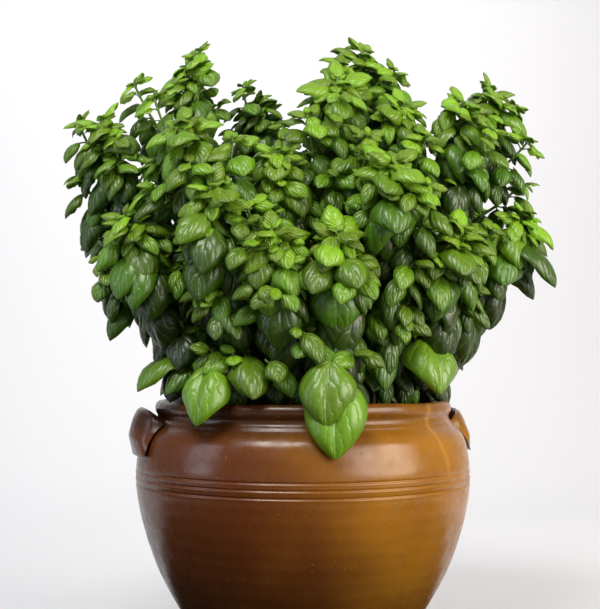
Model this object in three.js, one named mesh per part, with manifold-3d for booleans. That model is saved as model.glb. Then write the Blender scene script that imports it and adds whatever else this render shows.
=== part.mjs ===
// A bushy basil plant in a round-bellied stoneware pot with two small ears.
// Millimetres, +Z up. The origin is the middle of the pot's flat base, and the ears lie on the X axis.
import * as THREE from "three";
import { mergeVertices } from "three/addons/utils/BufferGeometryUtils.js";
import Module from "manifold-3d";

const wasm = await Module();
wasm.setup();
const radians = THREE.MathUtils.degToRad;

// ---- driving dimensions: the pot ----
const POT_HEIGHT = 265;
const BASE_RADIUS = 92;
const RIM_RADIUS = 151; // outside of the rolled lip
const LIP_HEIGHT = 13; // the lip stands this tall above its crease
const CREASE_DEPTH = 3.5;
const NECK_HEIGHT = 243; // a small step where the neck meets the shoulder
const NECK_RADIUS = 150.5;
// the belly from the foot to the neck, as distance from the axis and height
const BELLY = [
  [93, 1.5],
  [121.5, 50],
  [147, 97],
  [164, 147],
  [170, 189],
  [164.5, 227],
  [NECK_RADIUS, NECK_HEIGHT],
];
const WALL = 9;
const FLOOR = 12;
const FLOOR_FILLET = 8;
const POT_SIDES = 32;
const GROOVE_HEIGHTS = [183, 190, 196.5]; // three turned lines round the belly
const GROOVE_DEPTH = 1.1;

// ---- driving dimensions: the ears of the pot ----
const EAR_HALF_ANGLE = radians(13.5);
const EAR_HALF_THICKNESS = 4;
const EAR_SLICES = 10;
const EAR_FOOT = 212; // height where the ear grows out of the shoulder
const EAR_SINK = 2; // how far the ends of its middle line lie inside the wall
const EAR_END_HEIGHT = 0.7; // height of its ends as a share of its height in the middle
const EAR_CREST = 3; // its top edge is rounded this much higher
// the ear's middle line at its widest, from the foot to the top edge
const EAR_LINE = [
  [166, EAR_FOOT],
  [173, 230],
  [170.5, 245],
  [166, 257],
];

// ---- driving dimensions: the soil ----
const SOIL_TOP = 240;
const SOIL_CROWN = 5; // the soil stands this much higher in the middle
const SOIL_GAP = 0.5; // between the soil and the pot
const SOIL_SIDES = 20;
const HOLE_GAP = 0.8; // between a stem and its hole in the soil
const ROOTED = 26; // how deep a stem stands in the soil

// ---- driving dimensions: the plant ----
const PLANT_TURN = radians(-15); // how far the bush is turned against the ears
const STEM_FOOT = 4.5; // half the diagonal of a square stem at the soil
const STEM_TIP = 2.2;
const HOLE_RADIUS = STEM_FOOT + Math.SQRT2 * HOLE_GAP;
const BLADE_THICKNESS = 1.6; // at the midrib
const ROOT_OFFSET = 0.8; // a blade's base point lies this far past the middle of its stem
const LARGEST_BLADE = 62;
const WIDTH_SHARE = 0.4; // half the width of a blade for its length
const CUP = radians(24); // how far the two halves of a blade turn down from the midrib
const BLADE_GAP = 2.5; // kept between the foliage of two stems
const POT_CLEAR = 4; // kept between the foliage and the pot

// The stems: where each one leaves the soil, where its tip is, and how large its leaves are. The viewer
// stands at -Y, and X runs to the right.
const STEMS = [
  { name: "stem_left_outer", foot: [-92, -22], tip: [-205, -40, 545], size: 0.95 },
  { name: "stem_left_tall", foot: [-52, 4], tip: [-124, 12, 616], size: 0.9 },
  { name: "stem_left_front", foot: [-66, -82], tip: [-116, -96, 532], size: 1 },
  { name: "stem_left_low", foot: [-90, -58], tip: [-168, -108, 440], size: 1.05 },
  { name: "stem_front_left", foot: [-46, -100], tip: [-84, -142, 462], size: 1.05 },
  { name: "stem_front_middle", foot: [-10, -112], tip: [-28, -160, 420], size: 1.1 },
  { name: "stem_front_right", foot: [32, -116], tip: [30, -158, 418], size: 1.1 },
  { name: "stem_inner_front", foot: [-10, -50], tip: [-24, -98, 504], size: 0.95 },
  { name: "stem_tall_middle", foot: [34, 6], tip: [64, 14, 634], size: 0.9 },
  { name: "stem_tall_front", foot: [24, -40], tip: [34, -60, 582], size: 0.95 },
  { name: "stem_right_inner", foot: [64, -36], tip: [98, -66, 556], size: 0.95 },
  { name: "stem_right_front", foot: [66, -78], tip: [84, -140, 486], size: 1.05 },
  { name: "stem_right_low", foot: [94, -58], tip: [148, -120, 426], size: 1.05 },
  { name: "stem_right_middle", foot: [78, -4], tip: [160, -56, 560], size: 0.95 },
  { name: "stem_right_tall", foot: [84, 34], tip: [200, 6, 588], size: 0.9 },
  { name: "stem_right_outer", foot: [102, -18], tip: [226, -40, 452], size: 1 },
  { name: "stem_back_small", foot: [-14, 46], tip: [-54, 72, 592], size: 0.75 },
  { name: "stem_back_left", foot: [-64, 50], tip: [-128, 108, 548], size: 0.95 },
  { name: "stem_back_middle", foot: [18, 84], tip: [22, 138, 530], size: 0.95 },
  { name: "stem_back_right", foot: [62, 68], tip: [124, 112, 524], size: 0.95 },
  { name: "stem_left_back", foot: [-98, 28], tip: [-214, 50, 470], size: 1 },
  { name: "stem_back_low_left", foot: [-46, 92], tip: [-104, 178, 438], size: 1.05 },
  { name: "stem_back_low_middle", foot: [-8, 102], tip: [4, 196, 424], size: 1.05 },
  { name: "stem_back_low_right", foot: [50, 102], tip: [108, 172, 430], size: 1.05 },
  { name: "stem_right_back", foot: [86, 60], tip: [188, 118, 476], size: 1 },
];

// How leaves change from the tip of a stem down, one entry for each pair; the last one is kept below that.
const PAIR_SPACING = [4, 8, 11, 14, 17, 20];
const PAIR_SIZE = [0.4, 0.62, 0.8, 0.92, 0.98, 1];
const PAIR_LIFT = [52, 28, 8, -8, -18, -26].map(radians);
const PAIR_BEND = [20, 40, 52, 56, 56, 56].map(radians);
const SMALL_PAIRS = 1; // this many pairs at the tip have the plain small blade
const TOP_PAIRS = 6; // this many pairs at the tip stand in the light all round
const SHADED = -0.2; // below those, leaves that turn further in than this cosine are gone
const LOWEST_LEAF = SOIL_TOP + 34; // no leaf leaves a stem lower than this

// Large old leaves that hang out over the rim: their stem, the height where they leave it, their measures
// and their angles in degrees.
const APRON = [
  {
    stem: "stem_front_right", height: 306, petiole: 39, length: 62, half: 23,
    turn: -102, lift: -4, hang: 48, bend: 42, roll: -6,
  },
  {
    stem: "stem_front_right", height: 284, petiole: 39, length: 74, half: 25,
    turn: -94, lift: 6, hang: 64, bend: 34, roll: 2,
  },
  {
    stem: "stem_left_front", height: 296, petiole: 48, length: 62, half: 24,
    turn: -112, lift: 4, hang: 44, bend: 46, roll: 4,
  },
  {
    stem: "stem_right_low", height: 330, petiole: 16, length: 62, half: 27,
    turn: -68, lift: -14, hang: 24, bend: 46, roll: -4,
  },
  {
    stem: "stem_left_low", height: 306, petiole: 22, length: 56, half: 21,
    turn: -150, lift: 8, hang: 20, bend: 50, roll: 0,
  },
  {
    stem: "stem_front_left", height: 310, petiole: 16, length: 56, half: 21,
    turn: -80, lift: -8, hang: 10, bend: 50, roll: -10,
  },
];

// ---- points as plain arrays of three numbers ----
const plus = (a, b, by = 1) => [a[0] + b[0] * by, a[1] + b[1] * by, a[2] + b[2] * by];
const dot = (a, b) => a[0] * b[0] + a[1] * b[1] + a[2] * b[2];
const cross = (a, b) => [a[1] * b[2] - a[2] * b[1], a[2] * b[0] - a[0] * b[2], a[0] * b[1] - a[1] * b[0]];
const distance = (a, b) => Math.sqrt(dot(plus(a, b, -1), plus(a, b, -1)));
const mix = (a, b, t) => plus(a, plus(b, a, -1), t);
const fromLast = (list, i) => list[Math.min(i, list.length - 1)];

// A repeatable draw between 0 and 1 for a number, and one between plus and minus an amount.
function chance(number) {
  const wave = Math.sin(number * 12.9898 + 4.1414) * 43758.5453;
  return wave - Math.floor(wave);
}
const vary = (number, amount) => (2 * chance(number) - 1) * amount;

// ---- growth: the stems' lines ----
const PATH_STEPS = 7;
const STRAIGHT_TO = SOIL_TOP + SOIL_CROWN + 4; // a stem stands upright until here
// the control points of a stem's curve, as shares of its rise and of its lean
const UPRIGHT_RISE = 0.36;
const LEANING_RISE = 0.72;
const LEANING_OUT = 0.82;

function stemPath({ foot: [x, y], tip }) {
  const rise = tip[2] - STRAIGHT_TO;
  const lean = LEANING_OUT * (tip[0] - x);
  const leanBack = LEANING_OUT * (tip[1] - y);
  const start = [x, y, STRAIGHT_TO];
  const upright = [x, y, STRAIGHT_TO + UPRIGHT_RISE * rise];
  const leaning = [x + lean, y + leanBack, STRAIGHT_TO + LEANING_RISE * rise];
  const path = [];
  for (let i = 0; i <= PATH_STEPS; i++) {
    const t = i / PATH_STEPS;
    const u = 1 - t;
    let point = plus([0, 0, 0], start, u * u * u);
    point = plus(point, upright, 3 * u * u * t);
    point = plus(point, leaning, 3 * u * t * t);
    path.push(plus(point, tip, t * t * t));
  }
  return path;
}

const bonesOf = (path) => path.slice(1).map((point, i) => [path[i], point]);

// The point of a path at a height.
function pointAtHeight(path, height) {
  const i = path.findIndex((point) => point[2] >= height);
  return mix(path[i - 1], path[i], (height - path[i - 1][2]) / (path[i][2] - path[i - 1][2]));
}

// The point of a path that lies a length back from its tip.
function pointBack(path, length) {
  for (let i = path.length - 1; i > 0; i--) {
    const step = distance(path[i], path[i - 1]);
    if (length <= step) return mix(path[i], path[i - 1], length / step);
    length -= step;
  }
  return null;
}

function toBone(point, [a, b]) {
  const along = plus(b, a, -1);
  const t = dot(plus(point, a, -1), along) / dot(along, along);
  return distance(point, plus(a, along, Math.min(1, Math.max(0, t))));
}
const toBones = (point, bones) => Math.min(...bones.map((bone) => toBone(point, bone)));

// ---- growth: one leaf ----
// A leaf starts at root and leaves it towards turn, an angle round the upright axis. Its petiole rises
// at lift, its blade starts lower than that by hang and arches over by bend, and roll tips it sideways.

function leafFrame({ root, turn, lift, hang, bend, petiole, length, roll }, t) {
  const out = [Math.cos(turn), Math.sin(turn), 0];
  const start = lift - hang;
  const slope = start - bend * t;
  const reach = petiole * Math.cos(lift) + (length * (Math.sin(start) - Math.sin(slope))) / bend;
  const rise = petiole * Math.sin(lift) + (length * (Math.cos(slope) - Math.cos(start))) / bend;
  const flatSide = [-out[1], out[0], 0];
  const flatUp = [-Math.sin(slope) * out[0], -Math.sin(slope) * out[1], Math.cos(slope)];
  const side = plus(flatSide.map((v) => v * Math.cos(roll)), flatUp, Math.sin(roll));
  const up = plus(flatUp.map((v) => v * Math.cos(roll)), flatSide, -Math.sin(roll));
  return { middle: plus(plus(root, out, reach), [0, 0, 1], rise), side, up };
}

// The margin of a blade, from its base round its tip: how far along it, how wide and on which side.
const FULL_MARGIN = [
  [0.34, 1, -1],
  [0.72, 0.74, -1],
  [1, 0, 1],
  [0.72, 0.74, 1],
  [0.34, 1, 1],
];
const SMALL_MARGIN = [
  [0.4, 1, -1],
  [1, 0, 1],
  [0.4, 1, 1],
];
const MIDDLE = 0.48; // where the faces of a blade meet on its midrib

// The points of a blade's margin, starting with its base, and its middle.
function bladePoints(leaf) {
  const base = plus(leaf.root, [Math.cos(leaf.turn), Math.sin(leaf.turn), 0], leaf.small ? 0 : ROOT_OFFSET);
  const margin = (leaf.small ? SMALL_MARGIN : FULL_MARGIN).map(([t, share, sign]) => {
    const { middle, side, up } = leafFrame(leaf, t);
    const half = leaf.half * share;
    return plus(plus(middle, side, sign * half * Math.cos(CUP)), up, -half * Math.sin(CUP));
  });
  return { margin: [base, ...margin], ...leafFrame(leaf, MIDDLE) };
}

// The pot keeps foliage out of its wall and ears, and the soil out of its top.
const EAR_TURNS = [-PLANT_TURN, Math.PI - PLANT_TURN]; // where the ears stand for the plant
const EAR_KEEP_OUT = EAR_HALF_ANGLE + radians(3);
const SHOULDER_SLOPE = 1.1; // how far the shoulder spreads for each millimetre down from the neck
const BELLY_RADIUS = 170;

function clearOfPot([x, y, z]) {
  const r = Math.sqrt(x * x + y * y);
  if (z > POT_HEIGHT + POT_CLEAR) return true;
  if (r < RIM_RADIUS - WALL - 2 * POT_CLEAR) return z > SOIL_TOP + SOIL_CROWN + POT_CLEAR;
  const nearEar = EAR_TURNS.some((turn) => Math.cos(Math.atan2(y, x) - turn) > Math.cos(EAR_KEEP_OUT));
  if (nearEar) return false;
  const shoulder = NECK_RADIUS + (NECK_HEIGHT - z) * SHOULDER_SLOPE;
  return r > Math.max(RIM_RADIUS, Math.min(shoulder, BELLY_RADIUS)) + POT_CLEAR;
}

function isClear({ margin, middle }, own, skeletons) {
  const halfway = margin.slice(1).map((point, i) => mix(margin[(i + 2) % margin.length], point, 0.5));
  return [middle, ...margin.slice(1), ...halfway].every((point) => {
    if (!clearOfPot(point)) return false;
    const mine = toBones(point, skeletons[own]);
    return skeletons.every((bones, i) => i === own || toBones(point, bones) - mine > BLADE_GAP);
  });
}

// The middle surface of a blade as triangles and their edges.
function surfaceOf({ margin, middle }) {
  const sides = margin.map((point, i) => [point, margin[(i + 1) % margin.length]]);
  const spokes = margin.map((point) => [point, middle]);
  return { triangles: sides.map((side) => [...side, middle]), edges: [...sides, ...spokes] };
}

function pierces([p, q], [a, b, c]) {
  const ray = plus(q, p, -1);
  const [one, other] = [plus(b, a, -1), plus(c, a, -1)];
  const across = cross(ray, other);
  const size = dot(one, across);
  if (Math.abs(size) < 1e-9) return false;
  const from = plus(p, a, -1);
  const u = dot(from, across) / size;
  const lifted = cross(from, one);
  const v = dot(ray, lifted) / size;
  const t = dot(other, lifted) / size;
  return u > 0 && v > 0 && u + v < 1 && t > 0 && t < 1;
}

const crossing = (a, b) =>
  a.edges.some((edge) => b.triangles.some((face) => pierces(edge, face))) ||
  b.edges.some((edge) => a.triangles.some((face) => pierces(edge, face)));

// A leaf that doesn't have room is tried smaller, turned aside and hanging, in this order.
const SIZES_TRIED = [1, 0.88, 0.76, 0.64];
const TURNS_TRIED = [0, 18, -18, 36, -36].map(radians);
const DROOPS_TRIED = [0, 24, -20].map(radians);

function fitted(leaf, own, skeletons, standing) {
  for (const size of SIZES_TRIED)
    for (const turn of TURNS_TRIED)
      for (const droop of DROOPS_TRIED) {
        const tried = {
          ...leaf,
          turn: leaf.turn + turn,
          lift: leaf.lift - droop,
          length: leaf.length * size,
          half: leaf.half * size,
        };
        const points = bladePoints(tried);
        if (!isClear(points, own, skeletons)) continue;
        const surface = surfaceOf(points);
        if (!standing.some((other) => crossing(surface, other))) return { ...tried, surface };
      }
  return null;
}

// How far leaves differ: angles in radians, and the others as shares of themselves.
const DIFFER = { length: 0.1, turn: 0.22, lift: 0.16, bend: 0.25, roll: 0.22, half: 0.08, spacing: 0.12 };
const PETIOLE = 3; // the shortest petiole
const PETIOLE_SHARE = 0.16; // and how much longer it is for the length of the blade

function newLeaf(root, turn, pair, size, draw) {
  const length = LARGEST_BLADE * size * fromLast(PAIR_SIZE, pair) * (1 + vary(draw + 0.1, DIFFER.length));
  return {
    root,
    turn: turn + vary(draw + 0.2, DIFFER.turn),
    lift: fromLast(PAIR_LIFT, pair) + vary(draw + 0.3, DIFFER.lift),
    hang: 0,
    bend: fromLast(PAIR_BEND, pair) * (1 + vary(draw + 0.4, DIFFER.bend)),
    roll: vary(draw + 0.5, DIFFER.roll),
    petiole: PETIOLE + PETIOLE_SHARE * length,
    length,
    half: length * WIDTH_SHARE * (1 + vary(draw + 0.6, DIFFER.half)),
    small: pair < SMALL_PAIRS,
  };
}

// ---- growth: where the leaves stand ----
const PHASE_STEP = 0.9;
const phaseOf = (number) => PHASE_STEP * number; // which way a stem's square section and first pair face

function pairsOf(path, number) {
  const pairs = [];
  let back = 0;
  for (let pair = 0; ; pair++) {
    back += fromLast(PAIR_SPACING, pair) * (1 + vary(number * 100 + pair, DIFFER.spacing));
    const root = pointBack(path, back);
    if (!root || root[2] < LOWEST_LEAF) return pairs;
    const turn = phaseOf(number) + (pair * Math.PI) / 2;
    const outward = Math.atan2(root[1], root[0]);
    const turns = [turn, turn + Math.PI].filter((t) => pair < TOP_PAIRS || Math.cos(t - outward) > SHADED);
    pairs.push({ pair, root, turns });
  }
}

function apronLeaf({ stem, height, turn, lift, hang, bend, roll, ...measures }, paths) {
  const root = pointAtHeight(paths[STEMS.findIndex(({ name }) => name === stem)], height);
  const [turned, lifted, hung, bent, rolled] = [turn, lift, hang, bend, roll].map(radians);
  const angles = { turn: turned, lift: lifted, hang: hung, bend: bent, roll: rolled };
  const leaf = { ...measures, ...angles, root, small: false };
  return { ...leaf, stem, surface: surfaceOf(bladePoints(leaf)) };
}

function growBush() {
  const paths = STEMS.map(stemPath);
  const skeletons = paths.map(bonesOf);
  const apron = APRON.map((leaf) => apronLeaf(leaf, paths));
  return STEMS.map((stem, s) => {
    const leaves = apron.filter((leaf) => leaf.stem === stem.name);
    for (const { pair, root, turns } of pairsOf(paths[s], s))
      turns.forEach((turn, k) => {
        const leaf = newLeaf(root, turn, pair, stem.size, s * 100 + pair * 2 + k);
        const standing = [...apron, ...leaves].map(({ surface }) => surface);
        const found = fitted(leaf, s, skeletons, standing);
        if (found) leaves.push(found);
      });
    return { ...stem, phase: phaseOf(s), path: paths[s], leaves };
  });
}

// ---- solids ----
function solidOf(geometry) {
  const bare = geometry.index ? geometry.toNonIndexed() : geometry.clone();
  bare.deleteAttribute("normal");
  bare.deleteAttribute("uv");
  const merged = mergeVertices(bare, 1e-4);
  return new wasm.Manifold(
    new wasm.Mesh({
      numProp: 3,
      vertProperties: new Float32Array(merged.attributes.position.array),
      triVerts: new Uint32Array(merged.index.array),
    }),
  );
}

const SHORTEST_EDGE = 0.03; // shorter ones are slivers of a join, and their two ends become one point

// The triangles of a mesh once its slivers are closed up.
function trianglesOf({ vertProperties, triVerts }) {
  const place = (i) => Array.from(vertProperties.subarray(3 * i, 3 * i + 3));
  const becomes = Array.from({ length: vertProperties.length / 3 }, (_, i) => i);
  const settled = (i) => (becomes[i] === i ? i : settled(becomes[i]));
  const faces = [];
  for (let i = 0; i < triVerts.length; i += 3) faces.push(Array.from(triVerts.subarray(i, i + 3)));
  for (const [a, b, c] of faces)
    for (const [from, to] of [[a, b], [b, c], [c, a]])
      if (distance(place(from), place(to)) < SHORTEST_EDGE) {
        const [low, high] = [settled(from), settled(to)].sort((p, q) => p - q);
        becomes[high] = low;
      }
  return faces.map((face) => face.map(settled)).filter((face) => new Set(face).size === 3);
}

function geometryOf(solid) {
  const mesh = solid.getMesh();
  const geometry = new THREE.BufferGeometry();
  geometry.setAttribute("position", new THREE.BufferAttribute(mesh.vertProperties, 3));
  geometry.setIndex(trianglesOf(mesh).flat());
  const flat = geometry.toNonIndexed();
  flat.computeVertexNormals();
  return flat;
}

function geometryFrom(points, faces) {
  const geometry = new THREE.BufferGeometry();
  geometry.setAttribute("position", new THREE.Float32BufferAttribute(points.flat(), 3));
  geometry.setIndex(faces.flat());
  return geometry;
}

// A closed body through rings of as many points each, with flat ends.
function loft(rings) {
  const sides = rings[0].length;
  const faces = [];
  for (let r = 0; r < rings.length - 1; r++)
    for (let i = 0; i < sides; i++) {
      const j = (i + 1) % sides;
      const [a, b, c, d] = [r * sides + i, r * sides + j, (r + 1) * sides + j, (r + 1) * sides + i];
      faces.push([a, b, c], [a, c, d]);
    }
  const last = (rings.length - 1) * sides;
  for (let i = 1; i < sides - 1; i++) faces.push([0, i + 1, i], [last, last + i, last + i + 1]);
  return geometryFrom(rings.flat(), faces);
}

// ---- the pot ----
const OUTSIDE_HEIGHTS = [1.5, 30, 60, 90, 120, 147, 168, 181, 186.5, 193.5, 199, 214, 228];
const INSIDE_HEIGHTS = [189, 130, 70, FLOOR + 6];
const bellyCurve = new THREE.SplineCurve(BELLY.map(([r, z]) => new THREE.Vector2(r, z)));
const bellyPoints = bellyCurve.getPoints(60);

function bellyRadius(z) {
  const i = bellyPoints.findIndex((p) => p.y >= z);
  if (i <= 0) return i < 0 ? NECK_RADIUS : bellyPoints[0].x;
  const [a, b] = [bellyPoints[i - 1], bellyPoints[i]];
  return a.x + ((b.x - a.x) * (z - a.y)) / (b.y - a.y);
}

function potProfile() {
  const crease = POT_HEIGHT - LIP_HEIGHT;
  const plain = OUTSIDE_HEIGHTS.map((z) => [bellyRadius(z), z]);
  const grooves = GROOVE_HEIGHTS.map((z) => [bellyRadius(z) - GROOVE_DEPTH, z]);
  const body = [...plain, ...grooves].sort((a, b) => a[1] - b[1]);
  const lip = [
    [NECK_RADIUS, NECK_HEIGHT],
    [RIM_RADIUS - CREASE_DEPTH, NECK_HEIGHT + 2],
    [RIM_RADIUS - CREASE_DEPTH, crease],
    [RIM_RADIUS, crease + 3],
    [RIM_RADIUS, crease + 8],
    [RIM_RADIUS - 4, POT_HEIGHT],
    [RIM_RADIUS - WALL, POT_HEIGHT - 1.5],
  ];
  const inside = [NECK_HEIGHT, ...INSIDE_HEIGHTS].map((z) => [bellyRadius(z) - WALL, z]);
  return [
    [0, 0],
    [BASE_RADIUS, 0],
    ...body,
    ...lip,
    ...inside,
    [bellyRadius(FLOOR) - WALL - FLOOR_FILLET, FLOOR],
    [0, FLOOR],
  ];
}

// A profile turned round the Z axis, with the middle of a side on the X axis.
function turned(profile, sides) {
  const points = profile.map(([r, z]) => new THREE.Vector2(r, z));
  return solidOf(new THREE.LatheGeometry(points, sides, Math.PI / sides).rotateX(Math.PI / 2));
}

// An ear is a band that stands off the shoulder and runs into it at its foot and both ends.
function ear(middleTurn) {
  const rings = [];
  for (let i = 0; i <= EAR_SLICES; i++) {
    const across = (2 * i) / EAR_SLICES - 1;
    const turn = middleTurn + across * EAR_HALF_ANGLE;
    const standing = Math.sqrt(Math.max(0, 1 - across * across));
    const line = EAR_LINE.map(([r, z]) => {
      const height = EAR_FOOT + (z - EAR_FOOT) * (EAR_END_HEIGHT + (1 - EAR_END_HEIGHT) * standing);
      const wall = bellyRadius(height) - EAR_SINK;
      return [wall + (r - wall) * standing, height];
    });
    const inner = line.map(([r, z]) => [r - EAR_HALF_THICKNESS, z]);
    const outer = line.map(([r, z]) => [r + EAR_HALF_THICKNESS, z]).reverse();
    const [edgeRadius, edgeHeight] = line[line.length - 1];
    const top = [edgeRadius, edgeHeight + EAR_CREST];
    rings.push([...inner, top, ...outer].map(([r, z]) => [r * Math.cos(turn), r * Math.sin(turn), z]));
  }
  return solidOf(loft(rings));
}

function pot() {
  return wasm.Manifold.union([turned(potProfile(), POT_SIDES), ear(0), ear(Math.PI)]);
}

// ---- the soil ----
function soil() {
  const inner = (z) => bellyRadius(z) - WALL - SOIL_GAP;
  const profile = [
    [0, FLOOR + SOIL_GAP],
    [inner(FLOOR) - FLOOR_FILLET - 2, FLOOR + SOIL_GAP],
    ...[...INSIDE_HEIGHTS].reverse().map((z) => [inner(z) - 1, z]),
    [inner(SOIL_TOP) - 3, SOIL_TOP],
    [0, SOIL_TOP + SOIL_CROWN],
  ];
  const bottom = SOIL_TOP - ROOTED - HOLE_GAP;
  const height = STRAIGHT_TO - bottom;
  const holes = STEMS.map(({ foot: [x, y] }, number) => {
    const hole = new THREE.CylinderGeometry(HOLE_RADIUS, HOLE_RADIUS, height, 4).rotateX(Math.PI / 2);
    hole.rotateZ(phaseOf(number) - Math.PI / 4);
    return solidOf(hole.translate(x, y, bottom + height / 2));
  });
  return turned(profile, SOIL_SIDES).subtract(wasm.Manifold.union(holes));
}

// ---- the plant ----
// A square stem, whose flat sides face the way its leaves leave it.
function stemSolid({ foot: [x, y], path, phase }) {
  const ring = (at, along, half) =>
    [1, 3, 5, 7].map((k) => {
      const turn = phase + (k * Math.PI) / 4;
      const corner = new THREE.Vector3(Math.cos(turn), Math.sin(turn), 0);
      corner.addScaledVector(along, -corner.dot(along)).setLength(half);
      return corner.add(at).toArray();
    });
  const points = [[x, y, SOIL_TOP - ROOTED], ...path].map((p) => new THREE.Vector3(...p));
  const last = points.length - 1;
  const rings = points.map((point, i) => {
    const along = points[Math.min(i + 1, last)].clone().sub(points[Math.max(i - 1, 0)]).normalize();
    const grown = Math.max(0, i - 1) / PATH_STEPS;
    const half = STEM_FOOT + (STEM_TIP - STEM_FOOT) * grown;
    return ring(point, i < 2 ? new THREE.Vector3(0, 0, 1) : along, half);
  });
  return solidOf(loft(rings));
}

// A blade is a folded lens, whose two faces are split alike, as fans from the middle to the margin.
function bladeSolid(leaf) {
  const { margin, middle, up } = bladePoints(leaf);
  const count = margin.length;
  const faces = margin.flatMap((_, i) => {
    const next = (i + 1) % count;
    return [[i, next, count], [next, i, count + 1]];
  });
  const middles = [1, -1].map((face) => plus(middle, up, (face * BLADE_THICKNESS) / 2));
  return solidOf(geometryFrom([...margin, ...middles], faces));
}

function leafyStem(stem) {
  return wasm.Manifold.union([stemSolid(stem), ...stem.leaves.map(bladeSolid)]);
}

// ---- the object ----
const glaze = new THREE.MeshStandardMaterial({ color: 0x8a5528, roughness: 0.35, metalness: 0 });
const earth = new THREE.MeshStandardMaterial({ color: 0x2e2118, roughness: 0.95, metalness: 0 });
const foliage = new THREE.MeshStandardMaterial({ color: 0x4f8a23, roughness: 0.45, metalness: 0 });

function piece(name, solid, material) {
  const mesh = new THREE.Mesh(geometryOf(solid), material);
  mesh.name = name;
  return mesh;
}

const plant = new THREE.Group();
plant.rotation.z = PLANT_TURN;
plant.add(piece("potting_soil", soil(), earth));
for (const stem of growBush()) plant.add(piece(stem.name, leafyStem(stem), foliage));

const basil = new THREE.Group();
basil.add(piece("pot", pot(), glaze), plant);
export default basil;
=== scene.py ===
from dataclasses import dataclass, replace
from math import atan, atan2, cos, hypot, pi, radians, sin, sqrt

import bmesh
import bpy
import numpy as np
from bpy.props import FloatProperty, FloatVectorProperty, PointerProperty
from mathutils import Matrix, Vector, noise


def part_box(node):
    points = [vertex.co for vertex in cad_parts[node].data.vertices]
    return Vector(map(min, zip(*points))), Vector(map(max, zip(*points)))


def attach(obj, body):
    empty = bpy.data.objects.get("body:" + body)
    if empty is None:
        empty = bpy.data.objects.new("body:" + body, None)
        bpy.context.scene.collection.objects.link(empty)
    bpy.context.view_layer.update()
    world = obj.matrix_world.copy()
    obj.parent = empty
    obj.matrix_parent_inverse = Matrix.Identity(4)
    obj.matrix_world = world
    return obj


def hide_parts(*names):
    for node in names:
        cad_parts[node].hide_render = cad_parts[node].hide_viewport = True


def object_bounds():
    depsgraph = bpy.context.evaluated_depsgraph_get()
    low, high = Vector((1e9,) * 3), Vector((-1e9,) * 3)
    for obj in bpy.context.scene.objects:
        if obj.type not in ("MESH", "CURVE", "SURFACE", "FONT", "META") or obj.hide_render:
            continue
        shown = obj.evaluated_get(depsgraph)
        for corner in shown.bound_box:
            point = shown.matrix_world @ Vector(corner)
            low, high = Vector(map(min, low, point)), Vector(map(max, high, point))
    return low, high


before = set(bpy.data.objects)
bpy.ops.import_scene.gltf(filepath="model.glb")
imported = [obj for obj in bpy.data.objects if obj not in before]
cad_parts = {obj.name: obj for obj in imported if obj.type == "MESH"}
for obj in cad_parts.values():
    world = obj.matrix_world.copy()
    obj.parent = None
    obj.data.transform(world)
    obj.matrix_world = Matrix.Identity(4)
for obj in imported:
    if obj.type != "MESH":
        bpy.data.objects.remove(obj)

CAD_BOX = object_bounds()

bl_info = {
    "name": "Potted Basil",
    "version": (1, 0, 0),
    "blender": (4, 5, 0),
    "location": "View3D > Sidebar > Basil",
    "description": "Leaves, stems, soil, glazed pot and studio for a potted basil plant",
    "category": "Add Mesh",
}

# shapes are worked out in millimetres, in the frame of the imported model, and scaled once when they are done
MM = 0.001

# ---- sizes of the pot ----
POT_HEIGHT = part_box("pot")[1].z / MM
WALL = 9
FLOOR = 12
RIM_RADIUS = 151
# the outline of the belly, as radii and heights
BELLY = [(93, 1.5), (121.5, 50), (147, 97), (164, 147), (170, 189), (164.5, 227), (150.5, 243)]
NECK_RADIUS, NECK_HEIGHT = BELLY[-1]
BELLY_RADIUS = max(radius for radius, _ in BELLY)
GROOVE_HEIGHTS = (183, 190, 196.5)
EAR_HALF_ANGLE = radians(13.5)
EAR_HALF_THICKNESS = 4
EAR_FOOT = 212
EAR_SINK = 2  # into the wall
EAR_END_HEIGHT = 0.7  # of an ear's two ends, as a share of its middle's
# the middle of an ear's band from its foot up to its crest, as radii and heights
EAR_LINE = [(166, EAR_FOOT), (173, 230), (170.5, 245), (166, 257)]

# ---- sizes of the soil ----
SOIL_TOP = 240
SOIL_CROWN = 5

# ---- sizes of the plant: the stems as they grow in the part ----
PLANT_TURN = radians(-15)
STEM_FOOT = 3.9  # radii
STEM_TIP = 1.5
ROOTED = 26  # how deep a stem stands in the soil
ROOT_OFFSET = 0.8  # from a stem's middle line to where a blade of the part starts
LARGEST_BLADE = 62
WIDTH_SHARE = 0.4  # of a blade's half width in its length
CUP = radians(24)  # how far the two halves of a blade of the part slope down
BLADE_GAP = 2.5  # how much nearer a blade is to its own stem than to the others
POT_CLEAR = 4

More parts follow.
